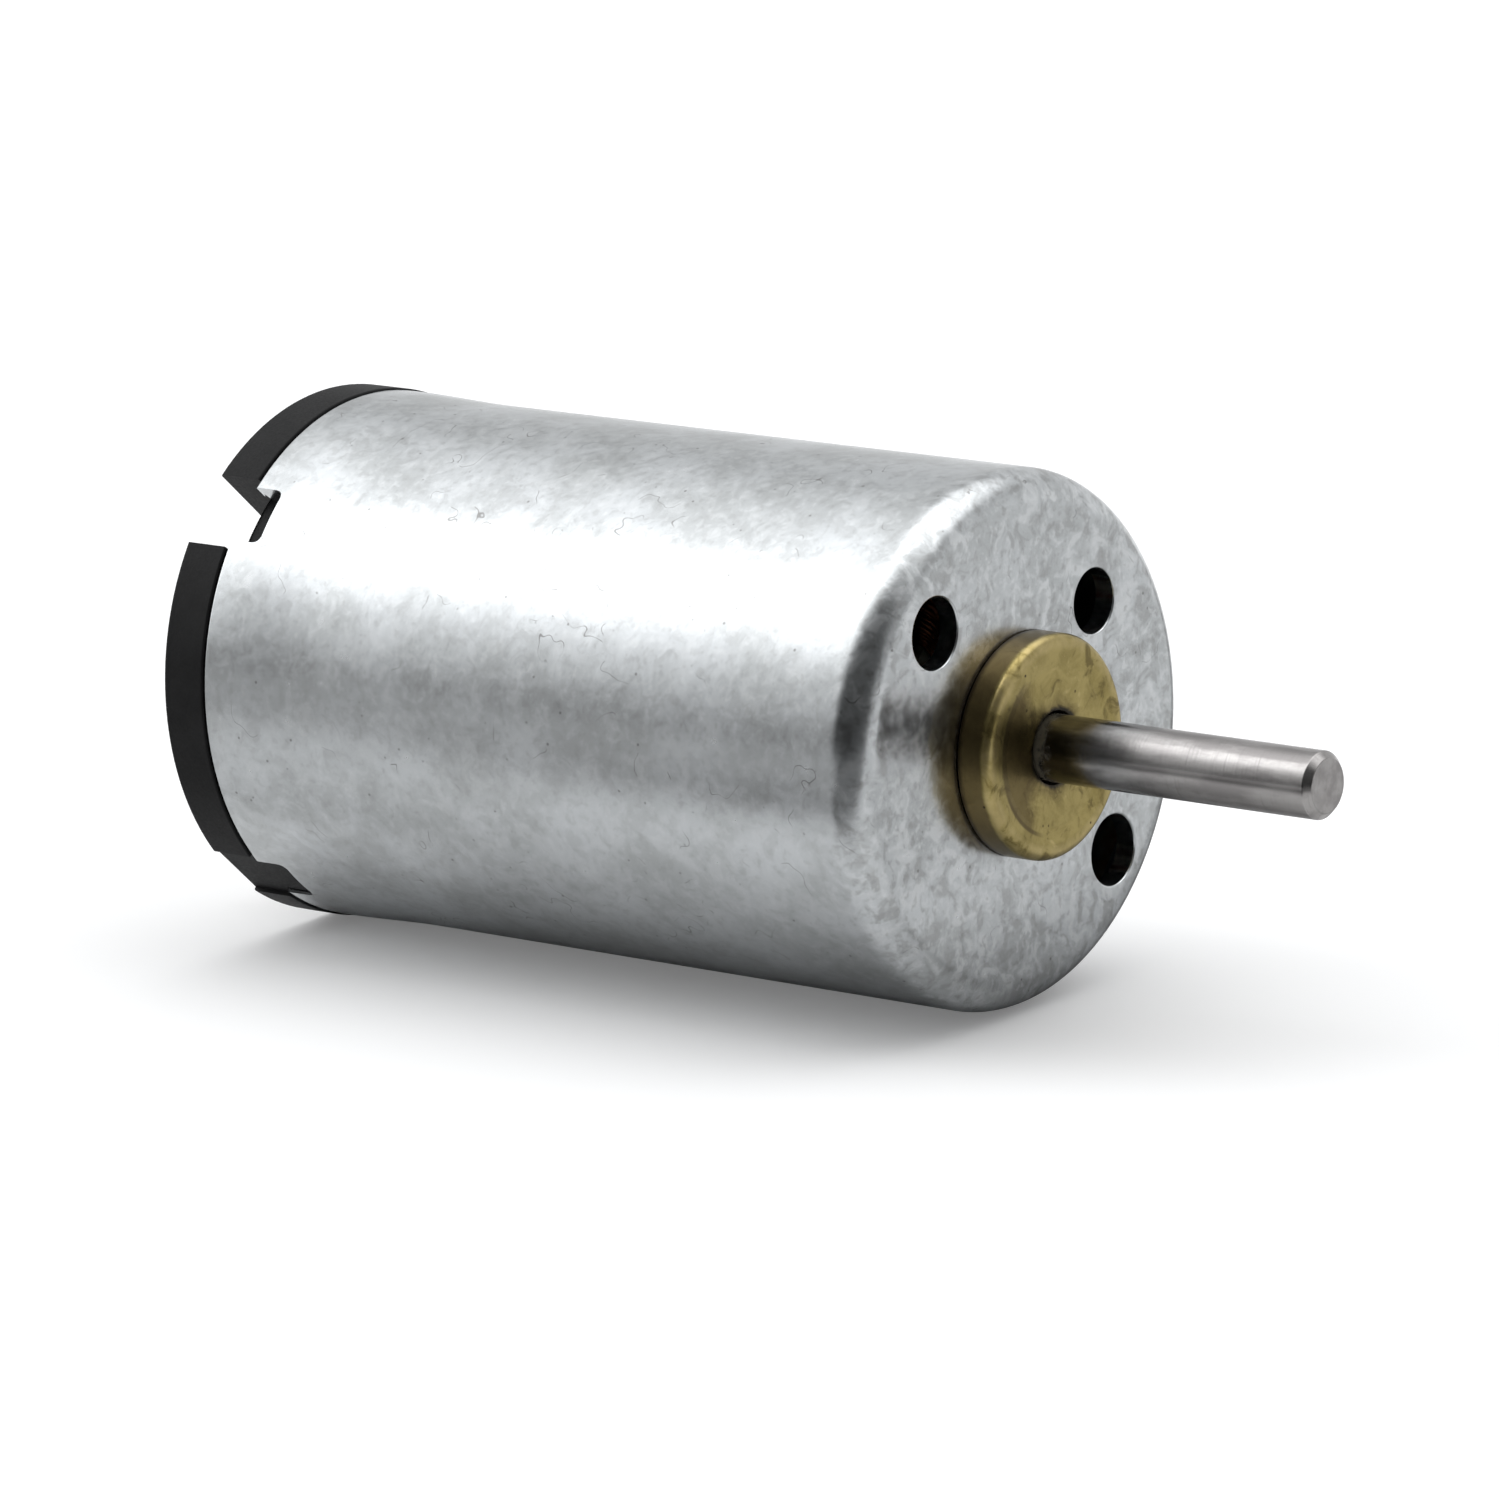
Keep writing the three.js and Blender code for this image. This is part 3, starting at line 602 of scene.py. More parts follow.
    def relief(self, height, depth_mm, under=None):
        """Bumps of this depth, laid over the bumps under them."""
        node = self.node("ShaderNodeBump")
        node.inputs["Strength"].default_value = 1.0
        node.inputs["Distance"].default_value = depth_mm * MM
        self.feed(node.inputs["Height"], height)
        if under is not None:
            self.link(under, node.inputs["Normal"])
        self.link(node.outputs["Normal"], self.shader.inputs["Normal"])
        return node.outputs["Normal"]


def zinc_plate():
    """Zinc-plated drawn steel: soft grey clouds, blotchier on the front, with pits and a few hairlines."""
    look = Look("zinc_plate", metallic=1.0, roughness=0.2)
    x, _, _ = look.axes()
    front = look.spread(x, -1.0, -0.3)
    cloud = look.noise(0.55, 4, 0.55)
    patch = look.noise(1.7, 3, 0.55, distortion=0.9)
    fleck = look.noise(4.2, 2, 0.55)
    tone = look.mix(look.spread(cloud, 0.34, 0.66), (0.565, 0.585, 0.59), (0.69, 0.715, 0.73))
    blotch = look.spread(front, 0.0, 1.0, 0.30, 0.85, smooth=False)
    tone = look.tinted(tone, (0.78, 0.80, 0.81), look.spread(patch, 0.50, 0.64), blotch)
    tone = look.tinted(tone, (0.48, 0.49, 0.49), look.spread(patch, 0.49, 0.36), blotch)
    speckle = look.spread(front, 0.0, 1.0, 0.22, 0.42, smooth=False)
    tone = look.tinted(tone, (0.85, 0.87, 0.885), look.spread(fleck, 0.53, 0.68), speckle)
    tone = look.tinted(tone, (0.38, 0.38, 0.375), look.spread(fleck, 0.46, 0.31), speckle)
    pits = look.product(look.spread(look.cells(2.6), 0.12, 0.05), look.spread(patch, 0.50, 0.42))
    tone = look.tinted(tone, (0.22, 0.215, 0.21), pits, 0.7)
    from_middle = look.math("ABSOLUTE", look.math("SUBTRACT", look.noise(0.8, 2, 0.5), 0.5))
    line = look.spread(from_middle, 0.0045, 0.001)
    hair = look.product(line, look.spread(look.noise(0.55, 1, 0.5, distortion=1.5), 0.58, 0.64))
    tone = look.tinted(tone, (0.24, 0.235, 0.23), hair, 0.75)
    look.colour(tone)
    look.rough(look.summed(patch, 0.6, fleck, 0.4), 0.16, 0.29)
    ripple = look.relief(look.noise(0.7, 2, 0.5), 0.011)
    dimple = look.relief(look.noise(1.9, 1, 0.5, distortion=0.5), 0.0038, under=ripple)
    look.relief(look.noise(6.0, 2, 0.5), 0.0008, under=dimple)
    return look.material


def turned_brass():
    """Olive-gold turned brass, blotched and specked and darker round the bore, with painted shade beside the
    bore, in its mouth, down the side with a brown stain and at the foot, and a painted highlight on the rim.
    """
    look = Look("turned_brass", metallic=1.0, roughness=0.3)
    stain = look.noise(1.3, 6, 0.68, distortion=0.5)
    blotch = look.noise(1.9, 5, 0.62, distortion=0.7)
    x, y, z = look.axes()
    radius = look.from_axis()

    # A tall dark ellipse on the face beside the bore, towards -Y, is painted shade and reflection of the
    # shaft.
    shaft_shade_y, shaft_shade_width, shaft_shade_height = -1.52, 0.62, 1.9
    across = look.math("MULTIPLY_ADD", y, 1 / shaft_shade_width, -shaft_shade_y / shaft_shade_width)
    beside = look.length(across, look.product(z, 1 / shaft_shade_height))
    tone_patch = look.spread(look.uneven(beside, stain, 1.5), 2.3, 1.5)
    tone_patch = look.product(tone_patch, look.spread(radius, 2.02, 1.92))
    near_bore = look.spread(look.uneven(radius, stain, 0.9), 1.75, 1.15)
    side_stain_and_shade = look.spread(look.uneven(x, stain, 0.08), BOSS_FACE - 0.12, BOSS_FACE - 0.22)
    painted_foot_shade = look.spread(look.uneven(x, stain, 0.10), 0.24, 0.08)
    tone = look.mix(look.spread(stain, 0.36, 0.62), (0.345, 0.275, 0.100), (0.46, 0.37, 0.145))
    tone = look.tinted(tone, (0.18, 0.138, 0.052), look.spread(blotch, 0.52, 0.66), 0.8)
    tone = look.tinted(tone, (0.60, 0.485, 0.22), look.spread(blotch, 0.40, 0.28), 0.65)
    # Painted shade and reflection of the shaft beside the bore.
    tone = look.tinted(tone, (0.125, 0.090, 0.040), tone_patch, 0.72)
    tone = look.tinted(tone, (0.10, 0.072, 0.034), near_bore, 0.7)
    # Painted highlight: paler brass on the rounded rim.
    painted_rim_highlight = look.product(look.spread(radius, BOSS_RADIUS - 0.4, BOSS_RADIUS - 0.2),
                       look.spread(x, BOSS_FACE - 0.24, BOSS_FACE - 0.14), look.spread(blotch, 0.62, 0.40))
    tone = look.tinted(tone, (0.62, 0.50, 0.25), painted_rim_highlight, 0.45)

    # A short dark arc lies near the face's lower edge, its angle in radians from +Y.
    mark_radius, mark_angle = 1.93, -2.35
    from_mark = look.math("ABSOLUTE", look.math("ADD", radius, -mark_radius))
    turn = look.math("ABSOLUTE", look.math("ADD", look.math("ARCTAN2", z, y), -mark_angle))
    mark = look.product(look.spread(from_mark, 0.07, 0.02), look.spread(turn, 0.55, 0.25))
    tone = look.tinted(tone, (0.12, 0.088, 0.040), mark, 0.75)
    # A brown stain with painted shade down the boss's side.
    tone = look.tinted(tone, (0.185, 0.135, 0.062), side_stain_and_shade, 0.85)
    # Painted shade: a dark line at the boss's foot, where it meets the can.
    tone = look.tinted(tone, (0.035, 0.024, 0.016), painted_foot_shade, 0.8)
    speck = look.spread(look.cells(2.2), 0.11, 0.05)
    tone = look.tinted(tone, (0.05, 0.035, 0.02), speck, look.spread(stain, 0.46, 0.54))

    # Painted shade: the bore's mouth is made nearly black.
    bore = look.spread(look.uneven(radius, stain, 0.30), 1.10, 0.98)
    at_bore = look.mix(look.spread(stain, 0.38, 0.60), (0.030, 0.026, 0.019), (0.085, 0.070, 0.048))
    look.colour(look.mix(bore, tone, at_bore))
    look.rough(look.summed(stain, 0.5, blotch, 0.5), 0.24, 0.40)
    look.relief(look.summed(blotch, 0.55, look.noise(14.0, 2), 0.08), 0.014)
    return look.material


def ground_steel():
    """Ground shaft steel with faint rings and streaks, oily and then grimy towards the bearing."""
    look = Look("ground_steel", metallic=1.0, roughness=0.17)
    rings = look.noise(22.0, 3, 0.6, stretch=(1, 0.06, 0.06))
    tone_patch = look.noise(1.8, 4, 0.6, stretch=(0.30, 1, 1))
    tone = look.mix(look.spread(tone_patch, 0.38, 0.62), (0.335, 0.320, 0.315), (0.47, 0.455, 0.445))
    tone = look.tinted(tone, (0.29, 0.275, 0.27), look.spread(rings, 0.55, 0.7), 0.35)
    x, _, _ = look.axes()
    oil = look.spread(look.uneven(x, tone_patch, 2.4), 4.1, 2.6)
    tone = look.tinted(tone, (0.060, 0.056, 0.050), oil, 0.86)
    at_bore = look.spread(look.uneven(x, look.noise(3.5, 4, 0.65), 1.0), 1.65, 1.35)
    dirt = look.mix(look.noise(4.5, 4), (0.075, 0.067, 0.048), (0.155, 0.140, 0.105))
    look.colour(look.mix(at_bore, tone, dirt))
    look.feed(look.shader.inputs["Metallic"], look.spread(at_bore, 0.0, 1.0, 1.0, 0.25, smooth=False))
    wear = look.summed(rings, 0.5, tone_patch, 0.5)
    look.rough(look.math("ADD", wear, at_bore), 0.14, 0.26)
    look.relief(rings, 0.0012)
    return look.material


def moulded_plastic(name, deep, pale, roughness, grain_mm, specular):
    """Moulded plastic with a fine spark-eroded grain and slightly uneven colour."""
    look = Look(name, metallic=0.0, roughness=roughness, Specular_IOR_Level=specular)
    cloud = look.noise(0.8, 4, 0.6)
    grain = look.noise(16.0, 4, 0.7)
    look.colour(look.mix(look.spread(cloud, 0.3, 0.7), deep, pale))
    look.rough(grain, roughness - 0.08, roughness + 0.1)
    look.relief(grain, grain_mm)
    return look.material


def rolled_metal(name, deep, pale, low, high, stretch=(0.1, 1, 1), stain=None):
    """Rolled or drawn sheet with streaks along one axis, and an optional stain colour."""
    look = Look(name, metallic=1.0, roughness=(low + high) / 2)
    streak = look.noise(14.0, 4, 0.6, stretch=stretch)
    cloud = look.noise(1.8, 5, 0.65)
    tone = look.mix(look.spread(cloud, 0.35, 0.65), deep, pale)
    if stain:
        tone = look.mix(look.spread(look.noise(3.0, 5, 0.7), 0.56, 0.72), tone, stain)
    look.colour(tone)
    look.rough(look.summed(streak, 0.6, cloud, 0.4), low, high)
    look.relief(streak, 0.002)
    return look.material


def grainy_solid(name, deep, pale, roughness, per_mm, metallic, pits):
    """Sintered or pressed material: crisp grains and open pits."""
    look = Look(name, metallic=metallic, roughness=roughness)
    grain = look.noise(per_mm, 5, 0.7)
    tone = look.mix(look.spread(grain, 0.35, 0.65), deep, pale)
    pit = look.product(look.spread(look.cells(per_mm * 1.4), 0.16, 0.05), pits)
    look.colour(look.mix(pit, tone, tuple(channel * 0.3 for channel in deep)))
    look.rough(grain, roughness - 0.1, roughness + 0.1)
    look.relief(look.math("SUBTRACT", grain, pit), 0.008)
    return look.material


def enamelled_wire():
    """Copper wire under clear amber enamel, each turn a little different."""
    look = Look("enamelled_wire", metallic=1.0, roughness=0.3, Coat_Weight=0.3, Coat_Roughness=0.2)
    turns = look.noise(5.0, 3, 0.6)
    tone = look.mix(look.spread(turns, 0.3, 0.7), (0.17, 0.046, 0.016), (0.30, 0.10, 0.040))
    look.colour(look.mix(look.spread(look.noise(11.0, 2), 0.6, 0.75), tone, (0.10, 0.027, 0.011)))
    look.rough(turns, 0.24, 0.38)
    look.relief(look.noise(18.0, 2), 0.003)
    return look.material


def varistor_disc():
    """A grey ceramic ring with three silvered pads on its faces."""
    look = Look("varistor_disc", metallic=0.0, roughness=0.55)
    grain = look.noise(9.0, 4, 0.7)
    _, y, z = look.axes()
    turn = look.product(look.math("ARCTAN2", z, y), 3.0)
    pad = look.spread(look.math("COSINE", turn), 0.35, 0.25)
    radius = look.from_axis()
    inside = look.product(look.spread(radius, 1.5, 1.6), look.spread(radius, 2.6, 2.5))
    pad = look.product(look.math("SUBTRACT", 1.0, pad), inside)
    ceramic = look.mix(grain, (0.07, 0.075, 0.085), (0.12, 0.125, 0.135))
    silver = look.mix(grain, (0.62, 0.61, 0.58), (0.78, 0.77, 0.74))
    look.colour(look.mix(pad, ceramic, silver))
    look.feed(look.shader.inputs["Metallic"], pad)
    look.rough(grain, 0.4, 0.65)
    look.relief(grain, 0.006)
    return look.material


# -------- pieces


def radial_box(inner, outer, width, x_low, x_high, degrees, corner=0.0):
    """A box pointing outwards at an angle from +Y towards +Z, its corners rounded as seen from outside."""
    half = width / 2
    outline = [(x_low, -half), (x_high, -half), (x_high, half), (x_low, half)]
    if corner:
        outline = rounded(outline, corner, 6)
    return prism(outline, inner, outer, turned_about_x(degrees - 90))


def moved_out(piece, distance, degrees):
    """Moves a piece off the axis, at an angle from +Y towards +Z."""
    angle = math.radians(degrees)
    offset = (0, distance * math.cos(angle), distance * math.sin(angle))
    piece.data.transform(Matrix.Translation(offset))
    return piece


def front_hole(radius, pitch, degrees):
    """A round cutter through the front face, whose mouth is softly rounded."""
    mouth = 0.05
    start, end = 0.5, -1.4
    profile = [(start, 0), (start, radius + mouth)]
    profile += arc((-mouth, radius + mouth), mouth, 0, -90, 5)
    profile += [(end, radius), (end, 0)]
    return moved_out(lathe("cutter", profile, 64), pitch, degrees)


def build_can():
    inner = CAN_RADIUS - CAN_WALL
    lip_front = CAN_REAR + 0.15
    taper_front = lip_front + 0.65
    lip = [(CAN_REAR, inner + FLARE, 0.05), (CAN_REAR, LIP_RADIUS, 0.07), (lip_front, LIP_RADIUS, 0)]
    profile = rounded(lip, 0, 6)
    flare_length, flare_steps = 3.0, 12
    for step in range(1, flare_steps + 1):
        part = step / flare_steps
        rise = (1 + math.cos(math.pi * part)) / 2
        profile.append((lip_front + flare_length * part, CAN_RADIUS + FLARE * rise))

    straight = 0.08
    profile += [(-CAN_ROUND - 0.5, CAN_RADIUS), (-CAN_ROUND - straight, CAN_RADIUS)]
    profile += arc((-CAN_ROUND, CAN_RADIUS - CAN_ROUND), CAN_ROUND, 90, 0, 16)
    seat_radius, seat_depth = 2.58, 0.02
    profile += [(0, CAN_RADIUS - CAN_ROUND - straight), (0, seat_radius + 0.04), (-seat_depth, seat_radius)]
    neck_hole = NECK_RADIUS + 0.02
    profile += [(-seat_depth, neck_hole), (-CAN_WALL, neck_hole)]

    fillet = 0.45
    profile += [(-CAN_WALL, 4.9)]
    profile += arc((-CAN_WALL - fillet, inner - fillet), fillet, 0, 90, 8)
    profile += [(-1.2, inner), (taper_front, inner), (lip_front, inner + FLARE)]
    can = lathe("can_shell", profile, 192)

    cutters = [front_hole(MOUNT_HOLE_RADIUS, MOUNT_HOLE_PITCH, degrees) for degrees in MOUNT_HOLE_ANGLES]
    cutters.append(front_hole(THIRD_HOLE_RADIUS, THIRD_HOLE_PITCH, THIRD_HOLE_ANGLE))
    notch_front = CAN_REAR + NOTCH_LENGTH
    for degrees in NOTCH_ANGLES:
        notch = radial_box(4.6, CLEAR_RADIUS, NOTCH_WIDTH, CAN_REAR - 1, notch_front, degrees, 0.25)
        cutters.append(notch)
    cut(can, cutters)
    settle(can, "housing", "zinc_steel", zinc_plate(), "can")


def build_front_bearing():
    """A bush whose barrel and collar are inside the can, and whose boss stands in front of it."""
    barrel_rear, barrel, barrel_edge = -1.6, 1.7, 0.08
    collar_rear, collar_front, collar, collar_edge = -0.87, -0.52, 2.1, 0.06
    profile = [(barrel_rear, BORE_RADIUS), (barrel_rear, barrel - barrel_edge)]
    profile += [(barrel_rear + barrel_edge, barrel), (collar_rear, barrel)]
    profile += [(collar_rear, collar - collar_edge), (collar_rear + collar_edge, collar)]
    profile += [(collar_front - collar_edge, collar), (collar_front, collar - collar_edge)]
    profile += [(collar_front, NECK_RADIUS), (0, NECK_RADIUS)]

    root, brow = 0.03, 0.2
    profile += [(0, BOSS_RADIUS - root), (root, BOSS_RADIUS), (BOSS_FACE - brow - 0.1, BOSS_RADIUS)]
    profile += arc((BOSS_FACE - brow, BOSS_RADIUS - brow), brow, 90, 0, 8)
    dish = BOSS_FACE - 0.03
    mouth = BORE_RADIUS + 0.04
    profile += rounded([(BOSS_FACE, BOSS_RADIUS - brow - 0.07, 0), (BOSS_FACE, 2.12, 0.15),
                        (dish, 1.78, 0.15), (dish, mouth + 0.08, 0), (dish, mouth, 0.04),
                        (dish - 0.1, BORE_RADIUS, 0.04), (dish - 0.4, BORE_RADIUS, 0)], 0, 4)
    boss = lathe("brass_boss", profile, 160)
    settle(boss, "housing", "brass", turned_brass(), "front_bearing")


def build_shaft():
    chamfer = 0.15
    end_radius = SHAFT_RADIUS - chamfer
    profile = [(SHAFT_REAR, 0), (SHAFT_REAR, end_radius - 0.1)]
    profile += rounded([(SHAFT_REAR, end_radius - 0.1, 0), (SHAFT_REAR, end_radius, 0.04),
                        (SHAFT_REAR + chamfer, SHAFT_RADIUS, 0.04),
                        (SHAFT_REAR + 0.4, SHAFT_RADIUS, 0)], 0, 4)
    profile += [(SHAFT_TIP - 0.35, SHAFT_RADIUS)]
    profile += rounded([(SHAFT_TIP - 0.3, SHAFT_RADIUS, 0), (SHAFT_TIP - chamfer, SHAFT_RADIUS, 0.06),
                        (SHAFT_TIP, end_radius, 0.06), (SHAFT_TIP, end_radius - 0.15, 0)], 0, 4)
    profile += [(SHAFT_TIP, end_radius - 0.25), (SHAFT_TIP, 0)]
    shaft = lathe("motor_shaft", profile, 96)
    settle(shaft, "rotor", "ground_steel", ground_steel(), "shaft")


def build_end_cap():
    """A flange on the can's rear, with a spigot inside the can, a hub for the bush, and two keys."""
    front = CAN_REAR - 0.02
    rear = CAP_REAR + 0.6
    rear_boss, eye, seat_rear = 2.6, 1.0, CAP_REAR + 0.45
    spigot_front, spigot, spigot_inner = -15.0, 5.45, 4.6
    hub_front, hub, bush_seat = -18.0, 2.4, 1.5
    outline = [(CAP_REAR, eye, 0.06), (CAP_REAR, rear_boss, 0.12), (rear, rear_boss, 0.05),
               (rear, FLANGE_RADIUS, 0.08), (front, FLANGE_RADIUS, 0.05), (front, spigot, 0.03),
               (spigot_front, spigot, 0.1), (spigot_front, spigot_inner, 0.06), (front, spigot_inner, 0.1),
               (front, hub, 0.05), (hub_front, hub, 0.06), (hub_front, bush_seat, 0.03),
               (seat_rear, bush_seat, 0.02), (seat_rear, eye, 0.02)]
    cap = lathe("end_cap_moulding", rounded(outline, 0, 5), 160)
    key_root, key_top = 5.15, CAN_RADIUS - KEY_GAP
    key_front = CAN_REAR + NOTCH_LENGTH - KEY_GAP
    key_width = NOTCH_WIDTH - 2 * KEY_GAP
    join(cap, [radial_box(key_root, key_top, key_width, front - 0.3, key_front, degrees, 0.2)
               for degrees in KEY_ANGLES])

    slot, slot_width = 3.3, 1.8
    behind = rear - 1.5
    cutters = [radial_box(slot, CLEAR_RADIUS, slot_width, behind, front, degrees)
               for degrees in OPEN_SLOT_ANGLES]
    for degrees in KEY_ANGLES:
        cutters.append(radial_box(slot, key_root, slot_width, behind, front, degrees))
        cutters.append(radial_box(key_top, CLEAR_RADIUS, slot_width, behind, front, degrees))
    tab_low, tab_high = box_mm("terminal_a")
    gap, recess = 0.02, 0.25
    through = (tab_low.z - gap, tab_high.z + gap, TERMINAL_WIDTH + 2 * gap)
    shallow = (tab_low.z - recess, tab_high.z + recess, TERMINAL_WIDTH + 0.6)
    for degrees in TERMINAL_ANGLES:
        cutters.append(radial_box(*through, behind, front + 1, degrees))
        cutters.append(radial_box(*shallow, rear - 1, rear + 0.12, degrees))
    for degrees in EJECTOR_ANGLES:
        dimple = [(rear - 0.5, 0), (rear - 0.5, 0.5), (rear + 0.04, 0.45), (rear + 0.07, 0.4),
                  (rear + 0.07, 0)]
        cutters.append(moved_out(lathe("cutter", dimple, 48), 4.35, degrees))
    cut(cap, cutters)
    dot = [(rear + 0.1, 0), (rear + 0.1, 0.3), (rear - 0.06, 0.3), (rear - 0.11, 0.25), (rear - 0.12, 0.18),
           (rear - 0.12, 0)]
    join(cap, [moved_out(lathe("dot", dot, 48), 4.6, 117)])
    black = moulded_plastic("black_moulding", (0.004, 0.004, 0.0045), (0.009, 0.009, 0.0095), 0.55,
                            0.004, 0.2)
    settle(cap, "housing", "black_plastic", black, "end_cap")


def tube(name, inner, outer, x_low, x_high, edge, segments):
    outline = [(x_low, inner), (x_low, outer), (x_high, outer), (x_high, inner)]
    return lathe(name, rounded(outline, edge, 3), segments)


def sector(inner, outer, centre, half, steps):
    """The outline of a ring sector in (y, z), angles in degrees."""
    return (arc((0, 0), outer, centre - half, centre + half, steps)
            + arc((0, 0), inner, centre + half, centre - half, steps))


def build_rear_bearing():
    low, high = box_mm("rear_bearing")
    radius, edge = high.z, 0.15
    outline = [(low.x, BORE_RADIUS, 0.05), (low.x, radius - edge, 0.04), (low.x + edge, radius, 0.04),
               (high.x - edge, radius, 0.04), (high.x, radius - edge, 0.04), (high.x, BORE_RADIUS, 0.05)]
    bush = lathe("rear_bush", rounded(outline, 0, 4), 96)
    bronze = grainy_solid("sintered_bronze", (0.27, 0.15, 0.065), (0.42, 0.26, 0.12), 0.42, 12,
                          metallic=1.0, pits=0.7)
    settle(bush, "housing", "sintered_bronze", bronze, "rear_bearing")


def build_magnets():
    ferrite = grainy_solid("pressed_ferrite", (0.016, 0.016, 0.018), (0.032, 0.032, 0.034), 0.62, 8,
                           metallic=0.0, pits=0.5)
    half_angle = 67
    for side, centre in (("right", 0), ("left", 180)):
        low, high = box_mm("magnet_" + side)
        outline = rounded(sector(3.95, MAGNET_RADIUS, centre, half_angle, 40), 0, 1)
        magnet = plate("magnet_arc_" + side, outline, [], low.x, high.x, 0.08)
        settle(magnet, "housing", "ferrite", ferrite, "magnet_" + side)


def build_magnet_clips():
    """Thin strips along the can's wall between the magnets, with both ends bent inwards."""
    spring = rolled_metal("spring_steel_strip", (0.17, 0.175, 0.18), (0.27, 0.275, 0.28), 0.28, 0.42)
    thickness, leg_end, half = 0.2, 4.35, 21
    inside = MAGNET_RADIUS - thickness
    inner_half = half - math.degrees(thickness / inside)
    for side, centre in (("top", 90), ("bottom", 270)):
        low, high = box_mm("magnet_clip_" + side)
        outline = arc((0, 0), MAGNET_RADIUS, centre - half, centre + half, 16)
        outline += arc((0, 0), leg_end, centre + half, centre + inner_half, 1)
        outline += arc((0, 0), inside, centre + inner_half, centre - inner_half, 14)
        outline += arc((0, 0), leg_end, centre - inner_half, centre - half, 1)
        clip = plate("magnet_spring_" + side, outline, [], low.x, high.x, 0.02)
        settle(clip, "housing", "spring_steel", spring, "magnet_clip_" + side)


def pole_outline(inset):
    """Three pole shoes on narrow necks, as points in (y, z)."""
    face, shoe, neck, hub = 3.65 - inset, 3.23 + inset, 0.65 - inset, 1.45 - inset
    tip = 52 - math.degrees(inset / face)
    shoe_turn, hub_turn = math.degrees(math.asin(neck / shoe)), math.degrees(math.asin(neck / hub))
    outline = []
    for pole in range(POLES):
        middle = FIRST_POLE + pole * POLE_TURN
        following = middle + POLE_TURN
        outline += arc((0, 0), face, middle - tip, middle + tip, 24)
        outline += arc((0, 0), shoe, middle + tip, middle + shoe_turn, 8)
        outline += arc((0, 0), hub, middle + hub_turn, following - hub_turn, 6)
        outline += arc((0, 0), shoe, following - shoe_turn, following - tip, 8)
    return outline


def build_core(nylon):
    """Sixteen sheets with a plastic spider at each end."""
    steel = rolled_metal("silicon_steel_sheet", (0.24, 0.25, 0.265), (0.36, 0.37, 0.385), 0.3, 0.46)
    bore = list(reversed(circle(SHAFT_RADIUS + 0.04, (0, 0), 48)))
    for number in range(1, 17):
        node = "lamination_%02d" % number
        low, high = box_mm(node)
        sheet = plate("core_plate_%02d" % number, pole_outline(0), [bore], low.x, high.x, 0.03)
        settle(sheet, "rotor", "silicon_steel", steel, node)
    for end in ("front", "rear"):
        low, high = box_mm("insulator_" + end)
        sheet = plate("core_insulator_" + end, pole_outline(0.04), [bore], low.x, high.x, 0.05)
        settle(sheet, "rotor", "nylon", nylon, "insulator_" + end)


def build_coils():
    """Each winding is a stack of wire turns laid round its pole's neck."""
    enamel = enamelled_wire()
    wire = 0.15
    lowest, highest, outside, widest_coil = 1.75, 3.02, 3.06, 2.1
    neck, neck_end, depth_at_end = 0.75, 4.35, 0.95
    core_middle = -8.0
    for index, letter in enumerate("abc"):
        bm = bmesh.new()
        base = lowest + wire / 2
        for layer in range(int((highest - base) / wire) + 1):
            height = base + layer * wire
            chord = math.sqrt(max(0.0, outside ** 2 - (height + wire / 2) ** 2))
            half = min(widest_coil, chord) - wire / 2
            while half > neck + wire / 2 - 1e-6:
                depth = half - neck
                reach = neck_end + min(depth_at_end - wire / 2, wire / 2 + depth * 0.72)
                wire_loop(bm, reach, half, height, wire / 2 * 1.04, min(0.85, depth + 0.2))
                half -= wire
        pole = turned_about_x(FIRST_POLE - 90 + index * POLE_TURN)
        bm.transform(pole @ Matrix.Translation((core_middle, 0, 0)))
        winding = object_from_bmesh("winding_" + letter, bm, 60)
        settle(winding, "rotor", "enamelled_copper", enamel, "coil_" + letter)


def wire_loop(bm, half_length, half_width, height, radius, corner):
    """One closed turn of wire round a rounded rectangle in a level plane."""
    sides = 6
    corner = min(corner, half_width * 0.95, half_length * 0.95)
    path = []
    for turn, (x, y) in enumerate(((1, 1), (-1, 1), (-1, -1), (1, -1))):
        centre = (x * (half_length - corner), y * (half_width - corner))
        path += arc(centre, corner, turn * 90, turn * 90 + 90, 4)
    rings = []
    count = len(path)
    for index in range(count):
        here = Vector(path[index])
        along = (Vector(path[(index + 1) % count]) - Vector(path[index - 1])).normalized()
        across = Vector((along.y, -along.x))
        ring = []
        for side in range(sides):
            angle = TURN * (side + 0.5) / sides
            place = here + across * (radius * math.cos(angle))
            ring.append(bm.verts.new((place.x, place.y, height + radius * math.sin(angle))))
        rings.append(ring)
    for index in range(count):
        first, second = rings[index], rings[(index + 1) % count]
        for side in range(sides):
            following = (side + 1) % sides
            bm.faces.new((first[side], first[following], second[following], second[side]))


